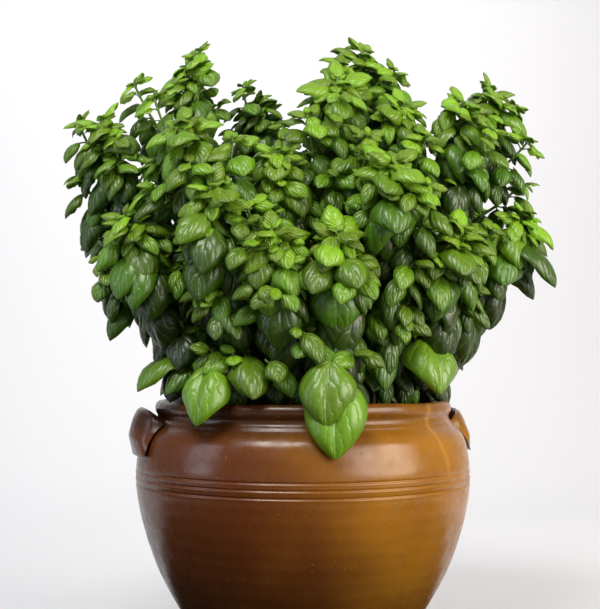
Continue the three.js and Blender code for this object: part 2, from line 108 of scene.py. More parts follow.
# each stem: its name, where it leaves the soil, where its tip is, and how large its leaves are
STEMS = [
    ("stem_left_outer", (-92, -22), (-205, -40, 545), 0.95),
    ("stem_left_tall", (-52, 4), (-124, 12, 616), 0.9),
    ("stem_left_front", (-66, -82), (-116, -96, 532), 1),
    ("stem_left_low", (-90, -58), (-168, -108, 440), 1.05),
    ("stem_front_left", (-46, -100), (-84, -142, 462), 1.05),
    ("stem_front_middle", (-10, -112), (-28, -160, 420), 1.1),
    ("stem_front_right", (32, -116), (30, -158, 418), 1.1),
    ("stem_inner_front", (-10, -50), (-24, -98, 504), 0.95),
    ("stem_tall_middle", (34, 6), (64, 14, 634), 0.9),
    ("stem_tall_front", (24, -40), (34, -60, 582), 0.95),
    ("stem_right_inner", (64, -36), (98, -66, 556), 0.95),
    ("stem_right_front", (66, -78), (84, -140, 486), 1.05),
    ("stem_right_low", (94, -58), (148, -120, 426), 1.05),
    ("stem_right_middle", (78, -4), (160, -56, 560), 0.95),
    ("stem_right_tall", (84, 34), (200, 6, 588), 0.9),
    ("stem_right_outer", (102, -18), (226, -40, 452), 1),
    ("stem_back_small", (-14, 46), (-54, 72, 592), 0.75),
    ("stem_back_left", (-64, 50), (-128, 108, 548), 0.95),
    ("stem_back_middle", (18, 84), (22, 138, 530), 0.95),
    ("stem_back_right", (62, 68), (124, 112, 524), 0.95),
    ("stem_left_back", (-98, 28), (-214, 50, 470), 1),
    ("stem_back_low_left", (-46, 92), (-104, 178, 438), 1.05),
    ("stem_back_low_middle", (-8, 102), (4, 196, 424), 1.05),
    ("stem_back_low_right", (50, 102), (108, 172, 430), 1.05),
    ("stem_right_back", (86, 60), (188, 118, 476), 1),
]
STEM_NAMES = [name for name, *_ in STEMS]

# how leaves change from the tip of a stem down, one entry for each pair; the last one is kept below that
PAIR_SPACING = (4, 8, 11, 14, 17, 20)
PAIR_SIZE = (0.4, 0.62, 0.8, 0.92, 0.98, 1)
PAIR_LIFT = tuple(radians(a) for a in (52, 28, 8, -8, -18, -26))
PAIR_BEND = tuple(radians(a) for a in (20, 40, 52, 56, 56, 56))
SMALL_PAIRS = 1
TOP_PAIRS = 6  # these have both leaves
SHADED = -0.2  # below them, no leaf faces further in than this cosine
LOWEST_LEAF = SOIL_TOP + 34
# how much leaves differ: radians of turn, lift and roll, and shares of the rest
DIFFER = {"length": 0.1, "turn": 0.22, "lift": 0.16, "bend": 0.25, "roll": 0.22, "half": 0.08}
SPACING_DIFFERS = 0.12
PETIOLE = 3
PETIOLE_SHARE = 0.16  # how much of a blade's length is added to its stalk
PHASE_STEP = 0.9  # each stem is turned this much further than the one before

# large old leaves that hang out over the rim: stem, height, petiole, length, half width, and degrees of
# turn, lift, hang, bend and roll
APRON = [
    ("stem_front_right", 306, 39, 62, 23, -102, -4, 48, 42, -6),
    ("stem_front_right", 284, 39, 74, 25, -94, 6, 64, 34, 2),
    ("stem_left_front", 296, 48, 62, 24, -112, 4, 44, 46, 4),
    ("stem_right_low", 330, 16, 62, 27, -68, -14, 24, 46, -4),
    ("stem_left_low", 306, 22, 56, 21, -150, 8, 20, 50, 0),
    ("stem_front_left", 310, 16, 56, 21, -80, -8, 10, 50, -10),
]


# ---- numbers ----
def last_kept(values, i):
    """An entry of values, or the last one for all that come after it."""
    return values[min(i, len(values) - 1)]


def chance(number):
    """A repeatable draw between 0 and 1 for a number."""
    wave = sin(number * 12.9898 + 4.1414) * 43758.5453
    return wave - np.floor(wave)


def vary(number, amount):
    """A repeatable draw between minus and plus an amount."""
    return (2 * chance(number) - 1) * amount


def heading(turn):
    """The level direction at a turn from the X axis."""
    return np.array([cos(turn), sin(turn), 0.0])


def mix(a, b, t):
    return a + (b - a) * t


# ---- growth: the stems' lines ----
PATH_STEPS = 7
STRAIGHT_TO = SOIL_TOP + SOIL_CROWN + 4
# the curve's two handles, as shares of the rise and of the way out
UPRIGHT_RISE = 0.36
LEANING_RISE = 0.72
LEANING_OUT = 0.82
UP = np.array([0.0, 0.0, 1.0])


def stem_points(foot, tip, shares):
    """Points of a stem's curve, at shares of its way from just over the soil to its tip."""
    start = np.array([*foot, STRAIGHT_TO], float)
    tip = np.array(tip, float)
    rise = tip[2] - start[2]
    lean = (tip - start) * (1, 1, 0)
    upright = start + UP * UPRIGHT_RISE * rise
    leaning = start + lean * LEANING_OUT + UP * LEANING_RISE * rise
    t = np.asarray(shares, float)[:, None]
    u = 1 - t
    return start * u**3 + upright * 3 * u * u * t + leaning * 3 * u * t * t + tip * t**3


def point_at_height(path, height):
    """The point where a path that rises passes a height."""
    i = int(np.argmax(path[:, 2] >= height))
    return mix(path[i - 1], path[i], (height - path[i - 1][2]) / (path[i][2] - path[i - 1][2]))


def point_back(path, length):
    """The point of a path that lies a length back from its tip, or None where the path is shorter."""
    for i in range(len(path) - 1, 0, -1):
        step = np.linalg.norm(path[i] - path[i - 1])
        if length <= step:
            return mix(path[i], path[i - 1], length / step)
        length -= step
    return None


# ---- growth: one leaf ----
@dataclass
class Leaf:
    """A leaf that starts at root and leaves it towards turn. Its petiole rises at lift, its blade starts
    lower by hang and arches over by bend, and roll tips it sideways. Half is its half width. A small leaf
    has a plainer margin. Age is 0 at a stem's tip and 1 on an old leaf. Seed is the number it draws by."""

    root: np.ndarray
    turn: float
    lift: float
    hang: float
    bend: float
    roll: float
    petiole: float
    length: float
    half: float
    small: bool = False
    age: float = 1.0
    seed: float = 0.0


# points of a margin after the base: share of the length, share of the half width, and side
FULL_MARGIN = np.array([(0.34, 1, -1), (0.72, 0.74, -1), (1, 0, 1), (0.72, 0.74, 1), (0.34, 1, 1)], float)
SMALL_MARGIN = np.array([(0.4, 1, -1), (1, 0, 1), (0.4, 1, 1)], float)
MIDDLE = 0.48  # where the middle of a blade is, as a share of its length


def leaf_frame(leaf, shares):
    """Points of the middle line, and the sideways and upward directions there, at shares of the length."""
    shares = np.atleast_1d(np.asarray(shares, float))
    out = heading(leaf.turn)
    flat_side = np.array([-out[1], out[0], 0.0])
    start = leaf.lift - leaf.hang
    slope = start - leaf.bend * shares
    reach = leaf.petiole * cos(leaf.lift) + leaf.length * (sin(start) - np.sin(slope)) / leaf.bend
    rise = leaf.petiole * sin(leaf.lift) + leaf.length * (np.cos(slope) - cos(start)) / leaf.bend
    flat_up = np.outer(-np.sin(slope), out) + np.outer(np.cos(slope), UP)
    side = flat_side * cos(leaf.roll) + flat_up * sin(leaf.roll)
    up = flat_up * cos(leaf.roll) - flat_side * sin(leaf.roll)
    return leaf.root + np.outer(reach, out) + np.outer(rise, UP), side, up


def blade_points(leaf):
    """The points of a blade's margin, starting with its base, and its middle."""
    shares, widths, signs = (SMALL_MARGIN if leaf.small else FULL_MARGIN).T
    middle, side, up = leaf_frame(leaf, shares)
    half = (leaf.half * widths)[:, None]
    margin = middle + side * signs[:, None] * half * cos(CUP) - up * half * sin(CUP)
    base = leaf.root + heading(leaf.turn) * (0 if leaf.small else ROOT_OFFSET)
    return np.vstack([base, margin]), leaf_frame(leaf, MIDDLE)[0][0]


class Skeletons:
    """The straight stretches of every stem, to measure how near a point is to each stem."""

    def __init__(self, paths):
        paths = np.array(paths)
        self.start = paths[:, :-1]
        self.along = paths[:, 1:] - self.start
        self.length = (self.along**2).sum(-1)

    def distances(self, points):
        """From each of the points to each stem."""
        offset = points[:, None, None] - self.start
        share = np.clip((offset * self.along).sum(-1) / self.length, 0, 1)
        return np.linalg.norm(offset - share[..., None] * self.along, axis=-1).min(-1)


EAR_TURNS = (-PLANT_TURN, pi - PLANT_TURN)  # in the plant's own frame
EAR_KEEP_OUT = EAR_HALF_ANGLE + radians(3)
SHOULDER_SLOPE = 1.1


def clear_of_pot(point):
    """The pot keeps foliage out of its wall and ears, and the soil out of its top."""
    x, y, z = point
    r = sqrt(x * x + y * y)
    if z > POT_HEIGHT + POT_CLEAR:
        return True
    if r < RIM_RADIUS - WALL - 2 * POT_CLEAR:
        return z > SOIL_TOP + SOIL_CROWN + POT_CLEAR
    if any(cos(atan2(y, x) - turn) > cos(EAR_KEEP_OUT) for turn in EAR_TURNS):
        return False
    shoulder = NECK_RADIUS + (NECK_HEIGHT - z) * SHOULDER_SLOPE
    return r > max(RIM_RADIUS, min(shoulder, BELLY_RADIUS)) + POT_CLEAR


def is_clear(margin, middle, own, skeletons):
    """Whether a blade stays off the pot and the soil, and nearer to its own stem than to any other."""
    after = np.roll(margin, -2, axis=0)[:-1]
    points = np.vstack([middle, margin[1:], mix(after, margin[1:], 0.5)])
    if not all(clear_of_pot(point) for point in points):
        return False
    distances = skeletons.distances(points)
    spare = distances - distances[:, own : own + 1]
    spare[:, own] = np.inf
    return bool((spare > BLADE_GAP).all())


def surface_of(margin, middle):
    """The edges and triangles of a blade's middle surface."""
    after = np.roll(margin, -1, axis=0)
    centre = np.broadcast_to(middle, margin.shape)
    edges = np.concatenate([np.stack([margin, after], 1), np.stack([margin, centre], 1)])
    return edges, np.stack([margin, after, centre], 1)


def pierces(edges, faces):
    """Whether any of the edges goes through any of the faces."""
    start = edges[:, None, 0]
    ray = edges[:, None, 1] - start
    one = faces[:, 1] - faces[:, 0]
    other = faces[:, 2] - faces[:, 0]
    across = np.cross(ray, other)
    size = (one * across).sum(-1)
    flat = np.abs(size) < 1e-9
    size = np.where(flat, 1, size)
    away = start - faces[:, 0]
    lifted = np.cross(away, one)
    u = (away * across).sum(-1) / size
    v = (ray * lifted).sum(-1) / size
    t = (other * lifted).sum(-1) / size
    return bool((~flat & (u > 0) & (v > 0) & (u + v < 1) & (t > 0) & (t < 1)).any())


def crosses(surface, standing):
    """Whether a blade's surface goes through any of those that stand already."""
    if not standing:
        return False
    edges, faces = surface
    other_edges = np.concatenate([e for e, _ in standing])
    other_faces = np.concatenate([f for _, f in standing])
    return pierces(edges, other_faces) or pierces(other_edges, faces)


SIZES_TRIED = (1, 0.88, 0.76, 0.64)
TURNS_TRIED = tuple(radians(a) for a in (0, 18, -18, 36, -36))
DROOPS_TRIED = tuple(radians(a) for a in (0, 24, -20))


def fitted(leaf, own, skeletons, standing):
    """The leaf where it has room: as it is, or smaller, turned aside or hanging, with its surface."""
    for size in SIZES_TRIED:
        for turn in TURNS_TRIED:
            for droop in DROOPS_TRIED:
                tried = replace(
                    leaf,
                    turn=leaf.turn + turn,
                    lift=leaf.lift - droop,
                    length=leaf.length * size,
                    half=leaf.half * size,
                )
                margin, middle = blade_points(tried)
                if not is_clear(margin, middle, own, skeletons):
                    continue
                surface = surface_of(margin, middle)
                if not crosses(surface, standing):
                    return tried, surface
    return None


AGE_OF_PAIR = (0.0, 0.12, 0.3, 0.5, 0.7, 0.85, 1.0)
APRON_AGE = 0.27
PART_DRAWS = 100  # how many numbers each stem of the part has to draw by


def new_leaf(root, turn, pair, size, draw):
    """A leaf of the pair with a number, counted from a stem's tip, as the number draw varies it."""
    length = LARGEST_BLADE * size * last_kept(PAIR_SIZE, pair) * (1 + vary(draw + 0.1, DIFFER["length"]))
    return Leaf(
        root=root,
        turn=turn + vary(draw + 0.2, DIFFER["turn"]),
        lift=last_kept(PAIR_LIFT, pair) + vary(draw + 0.3, DIFFER["lift"]),
        hang=0.0,
        bend=last_kept(PAIR_BEND, pair) * (1 + vary(draw + 0.4, DIFFER["bend"])),
        roll=vary(draw + 0.5, DIFFER["roll"]),
        petiole=PETIOLE + PETIOLE_SHARE * length,
        length=length,
        half=length * WIDTH_SHARE * (1 + vary(draw + 0.6, DIFFER["half"])),
        small=pair < SMALL_PAIRS,
        age=last_kept(AGE_OF_PAIR, pair),
        seed=draw,
    )


def pairs_of(path, number):
    """The pairs of leaves of a stem from its tip down: their number, root and the turns of their leaves."""
    pairs = []
    back = 0.0
    while True:
        pair = len(pairs)
        back += last_kept(PAIR_SPACING, pair) * (1 + vary(number * PART_DRAWS + pair, SPACING_DIFFERS))
        root = point_back(path, back)
        if root is None or root[2] < LOWEST_LEAF:
            return pairs
        turn = PHASE_STEP * number + pair * pi / 2
        outward = atan2(root[1], root[0])
        turns = [t for t in (turn, turn + pi) if pair < TOP_PAIRS or cos(t - outward) > SHADED]
        pairs.append((pair, root, turns))


def apron_leaf(path, height, petiole, length, half, *angles):
    """A leaf over the rim, from its row in APRON."""
    turn, lift, hang, bend, roll = (radians(a) for a in angles)
    root = point_at_height(path, height)
    return Leaf(root, turn, lift, hang, bend, roll, petiole, length, half, age=APRON_AGE, seed=height)


@dataclass
class Stem:
    """A stem: its curve, its own leaves, and the joints that their pairs grow from."""

    name: str
    foot: tuple
    tip: tuple
    size: float
    phase: float
    path: np.ndarray
    leaves: list
    joints: list


def grow_stems():
    """The stems and leaves that the part's solids have, by the same rule and draws."""
    paths = [stem_points(foot, tip, np.arange(PATH_STEPS + 1) / PATH_STEPS) for _, foot, tip, _ in STEMS]
    skeletons = Skeletons(paths)
    apron = [(row[0], apron_leaf(paths[STEM_NAMES.index(row[0])], *row[1:])) for row in APRON]
    apron_surfaces = [surface_of(*blade_points(leaf)) for _, leaf in apron]
    stems = []
    for number, (name, foot, tip, size) in enumerate(STEMS):
        own = [leaf for stem, leaf in apron if stem == name]
        standing = list(apron_surfaces)
        joints = pairs_of(paths[number], number)
        for pair, root, turns in joints:
            for k, turn in enumerate(turns):
                leaf = new_leaf(root, turn, pair, size, number * PART_DRAWS + pair * 2 + k)
                found = fitted(leaf, number, skeletons, standing)
                if found:
                    own.append(found[0])
                    standing.append(found[1])
        stems.append(Stem(name, foot, tip, size, PHASE_STEP * number, paths[number], own, joints))
    return stems


# ---- growth: what only the dressed plant has ----
GROWN_SHARE = 0.88  # the size of a real leaf against the part's, which are larger than life
GROWN_STRAY = 0.1
BROAD = 1.18  # how much broader a real leaf is
HANG = (radians(15), radians(31))  # how much lower a young and an old blade hang than the part's
FACING = 0.5  # how far a grown leaf has turned from its own side of the stem towards the light
FACING_PACE = 2.5  # it has turned that far at an age of one over this
FACING_ROLL = radians(36)
TIP_TILT = radians(38)  # how far the star of young leaves at a tip leans towards the light
DARK_CENTRE = (0, 80)  # the light reaches a leaf from the side away from this point

# leaves on the joints between the part's own
BETWEEN_SHARE = 0.88  # of a real leaf's size
BETWEEN_SHADED = -0.45  # below the top pairs, none turns further in than this cosine

# the lowest leaves, in rows of three under the part's own
HANGING_START = 12  # from the part's lowest joint down to the first row
HANGING_SPACING = 13
HANGING_SPREAD = 1.0  # radians between the three
HANGING_STRAY = 0.4
HANGING_SIZE = 0.9  # against the stem's other leaves
HANGING_PAIR = 5  # they have the shape of this pair's leaves
HANGING_LIFT = 0.25
HANGING_LIFT_STRAY = 0.3
HANGING_HANG = 0.3
HANGING_BEND = 1.5
HANGING_STALK = 1.8  # how much longer their stalks are
LOWEST_JOINT = SOIL_TOP + 20

# young leaves, and the last pairs of a tip: their distance back from it, length and lift
YOUNG_DIFFER = {"length": 0.2, "turn": 0.3, "lift": 0.2, "bend": 0.4, "roll": 0.3, "half": 0.12}
YOUNG_BEND = radians(44)
YOUNG_STALK = 1
TUFT = ((2.5, 26, radians(18)), (1.4, 18, radians(38)), (0.4, 11, radians(62)))
TUFT_STALK = 0.1  # how much of a blade's length is added to its stalk
GROWN_FROM = 24  # a young leaf longer than this gets the mesh of a grown one

# side shoots, in the corners over the leaves; reach goes from 0 near a stem's tip to 1 further down
SHOOT_CHANCE = 0.92
SHOOT_FROM_PAIR = 1
SHOOT_REACH_PAIRS = 5
SHOOT_LENGTH = (8, 58)
SHOOT_SHORTEST = 0.35  # of the length that its reach allows
SHOOT_LIFT = radians(34)
SHOOT_STRAY = (0.5, 0.3)  # of a shoot's turn and lift
SHOOT_RISE = 0.004  # how a shoot curves up, per square millimetre
SHOOT_INWARD = -0.6  # no shoot turns further in than this cosine
SHOOT_POINTS = 5
SHOOT_RADIUS = 0.8
SHOOT_STOUTER = 0.012  # how much is added to the radius for each millimetre of length
SHOOT_LEAVES = (40, 36, 30, 21)  # the lengths of the leaves of its pairs, at the full reach
SHOOT_SMALLEST = 0.68  # the size of its leaves where the reach is 0
SHOOT_LIFTS = tuple(radians(a) for a in (-26, -10, 8, 40))
SHOOT_BACK = (0.52, 0.27, 0.08, 0)  # how far back from its tip each pair stands, as a share of its length
SHOOT_AGES = (0.2, 0.55)  # of its lowest leaves, at both ends of the reach
SHOOT_STALK = 0.14  # as TUFT_STALK

# long side branches: the stem each one leaves, at what height, and where its tip is
BRANCHES = [
    ("stem_left_tall", 480, (-176, -8, 592)),
    ("stem_left_tall", 440, (-150, -44, 568)),
    ("stem_left_outer", 440, (-230, -26, 548)),
    ("stem_left_outer", 400, (-232, -14, 496)),
    ("stem_left_outer", 440, (-186, -66, 520)),
    ("stem_left_low", 330, (-196, -84, 402)),
    ("stem_left_front", 400, (-66, -110, 512)),
    ("stem_tall_middle", 480, (96, -6, 606)),
    ("stem_tall_middle", 520, (40, -18, 612)),
    ("stem_tall_front", 440, (62, -96, 520)),
    ("stem_tall_front", 430, (4, -92, 540)),
    ("stem_right_inner", 430, (60, -118, 476)),
    ("stem_right_inner", 440, (118, -92, 520)),
    ("stem_right_middle", 440, (182, -78, 530)),
    ("stem_left_tall", 560, (-110, 4, 630)),
    ("stem_back_small", 520, (-66, 56, 606)),
    ("stem_right_tall", 500, (222, 4, 572)),
    ("stem_right_tall", 470, (232, -18, 530)),
    ("stem_right_tall", 430, (232, 12, 492)),
    ("stem_right_front", 380, (114, -146, 462)),
    ("stem_inner_front", 380, (-54, -122, 452)),
    ("stem_back_small", 440, (-20, 40, 560)),
    ("stem_back_left", 420, (-170, 76, 520)),
    ("stem_back_right", 420, (166, 78, 520)),
    ("stem_back_middle", 420, (-30, 142, 500)),
    ("stem_back_middle", 400, (76, 152, 484)),
    ("stem_left_back", 360, (-218, 14, 440)),
]
BRANCH_MIDDLE = 0.55  # where its middle is, as a share of its extent
BRANCH_BOW = (0.12, 0.12, -0.1)  # how far it bows out and down at its middle, as shares of its extent
BRANCH_POINTS = 9
BRANCH_RADIUS = 1.5
BRANCH_PAIRS = 5
BRANCH_SIZE = 0.74  # of its leaves, against the stem's
BRANCH_SPACING_STRAY = 0.2
BRANCH_TUFT_SIZE = 0.85

# where the photo shows the bush open or narrower, no leaf is added: boxes by their corners
HOLLOWS = np.array([
    ((-62, -240, 262), (-30, -60, 345)),
    ((84, -240, 262), (106, -80, 300)),
    ((198, -240, 300), (250, 240, 400)),
    ((-250, -240, 300), (-198, 240, 425)),
], float)

# the numbers that leaves draw by: how many each stem, joint, shoot and branch has, and where each group of
# them starts
DRAWS_PER_STEM = 1000
DRAWS_PER_JOINT = 60
DRAWS_PER_SHOOT = 20
DRAWS_PER_BRANCH = 60
TUFT_DRAWS = 500
BETWEEN_DRAWS = 600
HANGING_DRAWS = 700
SHOOT_LEAF_DRAWS = 10
BRANCH_DRAWS = 50000
BRANCH_LEAF_DRAWS = 10
BRANCH_TUFT_DRAWS = 30


def settled(leaf):
    """The leaf as light and weight leave it: turned and rolled to the light, with its blade hanging."""
    light = atan2(leaf.root[1] - DARK_CENTRE[1], leaf.root[0] - DARK_CENTRE[0])
    aside = (leaf.turn - light + pi) % (2 * pi) - pi
    grown = min(1.0, leaf.age * FACING_PACE)
    return replace(
        leaf,
        turn=leaf.turn - aside * FACING * grown,
        lift=leaf.lift - TIP_TILT * cos(aside) * (1 - grown),
        roll=leaf.roll + FACING_ROLL * sin(aside),
        hang=mix(*HANG, leaf.age),
    )


def life_size(leaf, share=1.0):
    """A leaf of the part at its real size. One that hangs over the rim keeps its length and its place."""
    if leaf.hang:
        return replace(leaf, half=leaf.half * BROAD)
    share *= GROWN_SHARE * (1 + vary(leaf.seed + 0.8, GROWN_STRAY))
    return settled(replace(leaf, length=leaf.length * share, half=leaf.half * share * BROAD))


def young_leaf(root, turn, lift, length, age, stalk, draw):
    """A leaf of a tip or a side shoot, of about a length, as the number draw varies it."""
    leaf = Leaf(
        root=root,
        turn=turn + vary(draw + 0.2, YOUNG_DIFFER["turn"]),
        lift=lift + vary(draw + 0.3, YOUNG_DIFFER["lift"]),
        hang=0.0,
        bend=YOUNG_BEND * (1 + vary(draw + 0.4, YOUNG_DIFFER["bend"])),
        roll=vary(draw + 0.5, YOUNG_DIFFER["roll"]),
        petiole=YOUNG_STALK + stalk * length,
        length=length * (1 + vary(draw + 0.1, YOUNG_DIFFER["length"])),
        half=length * WIDTH_SHARE * (1 + vary(draw + 0.6, YOUNG_DIFFER["half"])),
        small=length < GROWN_FROM,
        age=age,
        seed=draw,
    )
    return settled(leaf)


def tuft(line, phase, size, draw):
    """The youngest leaves, which close up over the tip of a stem or branch."""
    for pair, (back, length, lift) in enumerate(TUFT):
        root = point_back(line, back)
        for k in (0, 1):
            turn = phase + (k + (pair + 1) / 2) * pi
            yield young_leaf(root, turn, lift, length * size, 0.0, TUFT_STALK, draw + pair * 2 + k)


def leaves_between(stem, draw):
    """Leaves on joints half-way between the part's own, turned an eighth from them."""
    for (pair, root, _), (_, below, _) in zip(stem.joints, stem.joints[1:]):
        middle = mix(root, below, 0.5)
        outward = atan2(middle[1], middle[0])
        for k in (0, 1):
            turn = stem.phase + (pair / 2 + k + 0.25) * pi
            if pair < TOP_PAIRS or cos(turn - outward) >= BETWEEN_SHADED:
                yield life_size(new_leaf(middle, turn, pair, stem.size, draw + pair * 2 + k), BETWEEN_SHARE)


def hanging_leaves(stem, first_draw):
    """The lowest leaves, under the part's own, which hang over the lip."""
    lowest = stem.joints[-1][1]
    outward = atan2(lowest[1], lowest[0])
    for row, height in enumerate(np.arange(lowest[2] - HANGING_START, LOWEST_JOINT, -HANGING_SPACING)):
        root = point_at_height(stem.path, height)
        for k in (-1, 0, 1):
            draw = first_draw + row * 3 + k
            turn = outward + k * HANGING_SPREAD + vary(draw, HANGING_STRAY)
            leaf = life_size(new_leaf(root, turn, HANGING_PAIR, stem.size * HANGING_SIZE, draw))
            yield replace(
                leaf,
                lift=vary(draw + 0.9, HANGING_LIFT_STRAY) + HANGING_LIFT,
                hang=HANGING_HANG,
                petiole=leaf.petiole * HANGING_STALK,
                bend=HANGING_BEND,
            )


@dataclass
class Shoot:
    """A side branch of a stem: the points of its line, and its thickness."""

    points: np.ndarray
    radius: float


def branch_line(path, start, tip):
    """The line of a long side branch, from a height on a stem's path to its own tip."""
    root = point_at_height(path, start)
    tip = np.array(tip, float)
    bend = mix(root, tip, BRANCH_MIDDLE) + (tip - root) * BRANCH_BOW
    t = np.linspace(0, 1, BRANCH_POINTS)[:, None]
    return root * (1 - t) ** 2 + bend * 2 * t * (1 - t) + tip * t**2


def branch_leaves(line, phase, size, draw):
    """The leaves of a long side branch, in pairs from its tip down."""
    back = 0.0
    for pair in range(BRANCH_PAIRS):
        back += last_kept(PAIR_SPACING, pair) * (1 + vary(draw + pair, BRANCH_SPACING_STRAY))
        root = point_back(line, back)
        if root is None:
            return
        for k in (0, 1):
            turn = phase + (pair / 2 + k) * pi
            yield life_size(new_leaf(root, turn, pair, size, draw + BRANCH_LEAF_DRAWS + pair * 2 + k))


def side_shoot(root, turn, reach, draw):
    """A side shoot in the corner over a leaf, and the leaves that it would carry."""
    length = mix(*SHOOT_LENGTH, reach * mix(SHOOT_SHORTEST, 1, chance(draw)))
    turn += vary(draw + 1, SHOOT_STRAY[0])
    lift = SHOOT_LIFT + vary(draw + 2, SHOOT_STRAY[1])
    out = heading(turn) * cos(lift) + UP * sin(lift)

    def at(way):
        return root + out * way + UP * SHOOT_RISE * way**2

    leaves = []
    for pair, (size, leaf_lift, back) in enumerate(zip(SHOOT_LEAVES, SHOOT_LIFTS, SHOOT_BACK)):
        base = at(length * (1 - back))
        size *= mix(SHOOT_SMALLEST, 1, reach)
        age = mix(*SHOOT_AGES, reach) * (1 - pair / len(SHOOT_LEAVES))
        for k in (0, 1):
            leaf_turn = turn + (k + (pair + 1) / 2) * pi
            leaf_draw = draw + SHOOT_LEAF_DRAWS + pair * 2 + k
            leaves.append(young_leaf(base, leaf_turn, leaf_lift, size, age, SHOOT_STALK, leaf_draw))
    points = at(np.linspace(0, length, SHOOT_POINTS)[:, None])
    return Shoot(points, SHOOT_RADIUS + length * SHOOT_STOUTER), leaves


# ---- growth: room for what is added ----
CAD_LOW, CAD_HIGH = (np.array(corner) / MM for corner in CAD_BOX)
CROWD_ROOM = 9000  # blades

# how a leaf may change to find room: its size, and the radians that it turns aside and droops
CHANGES = (
    (1, 0, 0),
    (0.9, 0.3, 0.1),
    (0.9, -0.3, 0.1),
    (0.8, 0, -0.35),
    (0.8, 0.5, 0.3),
    (0.8, -0.5, 0.3),
    (0.64, 0.15, 0),
)


def in_box(points):
    """Whether points of the unturned plant lie inside the part's own box once the plant is turned."""
    c, s = cos(PLANT_TURN), sin(PLANT_TURN)
    turned = points @ np.array([(c, s, 0), (-s, c, 0), (0, 0, 1)])
    return bool((turned > CAD_LOW).all() and (turned < CAD_HIGH).all())


class Crowd:
    """All blades that stand already, to find whether a new one would cross one of them."""

    def __init__(self):
        self.count = 0
        self.middles = np.zeros((CROWD_ROOM, 3))
        self.reaches = np.zeros(CROWD_ROOM)
        self.surfaces = []

    def add(self, margin, middle):
        self.middles[self.count] = middle
        self.reaches[self.count] = np.linalg.norm(margin - middle, axis=1).max()
        self.count += 1
        self.surfaces.append(surface_of(margin, middle))

    def has_room(self, margin, middle):
        reach = np.linalg.norm(margin - middle, axis=1).max()
        apart = np.linalg.norm(self.middles[: self.count] - middle, axis=1)
        near = np.flatnonzero(apart < self.reaches[: self.count] + reach)
        return not crosses(surface_of(margin, middle), [self.surfaces[i] for i in near])

    def placed(self, leaf):
        """The leaf where it has room, once it has joined the crowd there, or None."""
        for size, turn, droop in CHANGES:
            tried = replace(
                leaf,
                turn=leaf.turn + turn,
                lift=leaf.lift - droop,
                length=leaf.length * size,
                half=leaf.half * size,
            )
            margin, middle = blade_points(tried)
            in_hollow = (HOLLOWS[:, 0] < middle).all(1) & (middle < HOLLOWS[:, 1]).all(1)
            near_pot = margin[:, 2].min() < POT_HEIGHT + POT_CLEAR
            if in_hollow.any() or not in_box(margin):
                continue
            if near_pot and not all(clear_of_pot(point) for point in margin[1:]):
                continue
            if self.has_room(margin, middle):
                self.add(margin, middle)
                return tried
        return None

    def all_placed(self, leaves):
        """Those of the leaves that find room, one after the other."""
        tried = [self.placed(leaf) for leaf in leaves]
        return [leaf for leaf in tried if leaf]

    def own_placed(self, leaves):
        """The part's own leaves at their real size. One that finds no room stays where it is."""
        found = []
        for leaf in map(life_size, leaves):
            moved = self.placed(leaf)
            if not moved:
                self.add(*blade_points(leaf))
            found.append(moved or leaf)
        return found


def grow_bush(shoot_chance):
    """Each stem with all its leaves and side branches."""
    crowd = Crowd()
    bush = [(stem, crowd.own_placed(stem.leaves), []) for stem in grow_stems()]
    for number, (stem, leaves, _) in enumerate(bush):
        draw = number * DRAWS_PER_STEM
        leaves.extend(tuft(stem.path, stem.phase, 1, draw + TUFT_DRAWS))
        leaves.extend(crowd.all_placed(leaves_between(stem, draw + BETWEEN_DRAWS)))
        leaves.extend(crowd.all_placed(hanging_leaves(stem, draw + HANGING_DRAWS)))
    for row, (name, start, tip) in enumerate(BRANCHES):
        stem, leaves, shoots = bush[STEM_NAMES.index(name)]
        draw = BRANCH_DRAWS + row * DRAWS_PER_BRANCH
        line = branch_line(stem.path, start, tip)
        phase = 2 * pi * chance(draw)
        shoots.append(Shoot(line, BRANCH_RADIUS))
        leaves.extend(crowd.all_placed(branch_leaves(line, phase, stem.size * BRANCH_SIZE, draw)))
        leaves.extend(tuft(line, phase, BRANCH_TUFT_SIZE, draw + BRANCH_TUFT_DRAWS))
    for number, (stem, leaves, shoots) in enumerate(bush):
        for pair, root, _ in stem.joints[SHOOT_FROM_PAIR:]:
            outward = atan2(root[1], root[0])
            reach = min(1.0, (pair - SHOOT_FROM_PAIR) / SHOOT_REACH_PAIRS)
            for k in range(4):
                turn = stem.phase + (pair + k) * pi / 2
                draw = number * DRAWS_PER_STEM + pair * DRAWS_PER_JOINT + k * DRAWS_PER_SHOOT
                if chance(draw + 3) > shoot_chance or cos(turn - outward) < SHOOT_INWARD:
                    continue
                shoot, carried = side_shoot(root, turn, reach, draw)
                carried = crowd.all_placed(carried)
                if len(carried) > 1:
                    shoots.append(shoot)
                    leaves.extend(carried)
    return bush


# ---- mesh helpers ----
WELD = 1e-4  # vertices of a grid nearer than this are one
SPUN_WELD = 1e-3  # the same, after a full turn


def grid(bm, across, along, place, closed=False):
    """Adds a grid of so many faces, and puts its vertex at u, v (each 0 to 1) at place(u, v). A closed one
    is a tube with flat ends. Returns its vertices."""
    verts = bmesh.ops.create_grid(bm, x_segments=across, y_segments=along, size=0.5, calc_uvs=True)["verts"]
    for vert in verts:
        vert.co = place(vert.co.x + 0.5, vert.co.y + 0.5)
    if closed:
        bmesh.ops.remove_doubles(bm, verts=verts, dist=WELD)
        verts = [vert for vert in verts if vert.is_valid]
        ends = {edge for vert in verts for edge in vert.link_edges if edge.is_boundary}
        bmesh.ops.holes_fill(bm, edges=list(ends), sides=across)
    return verts


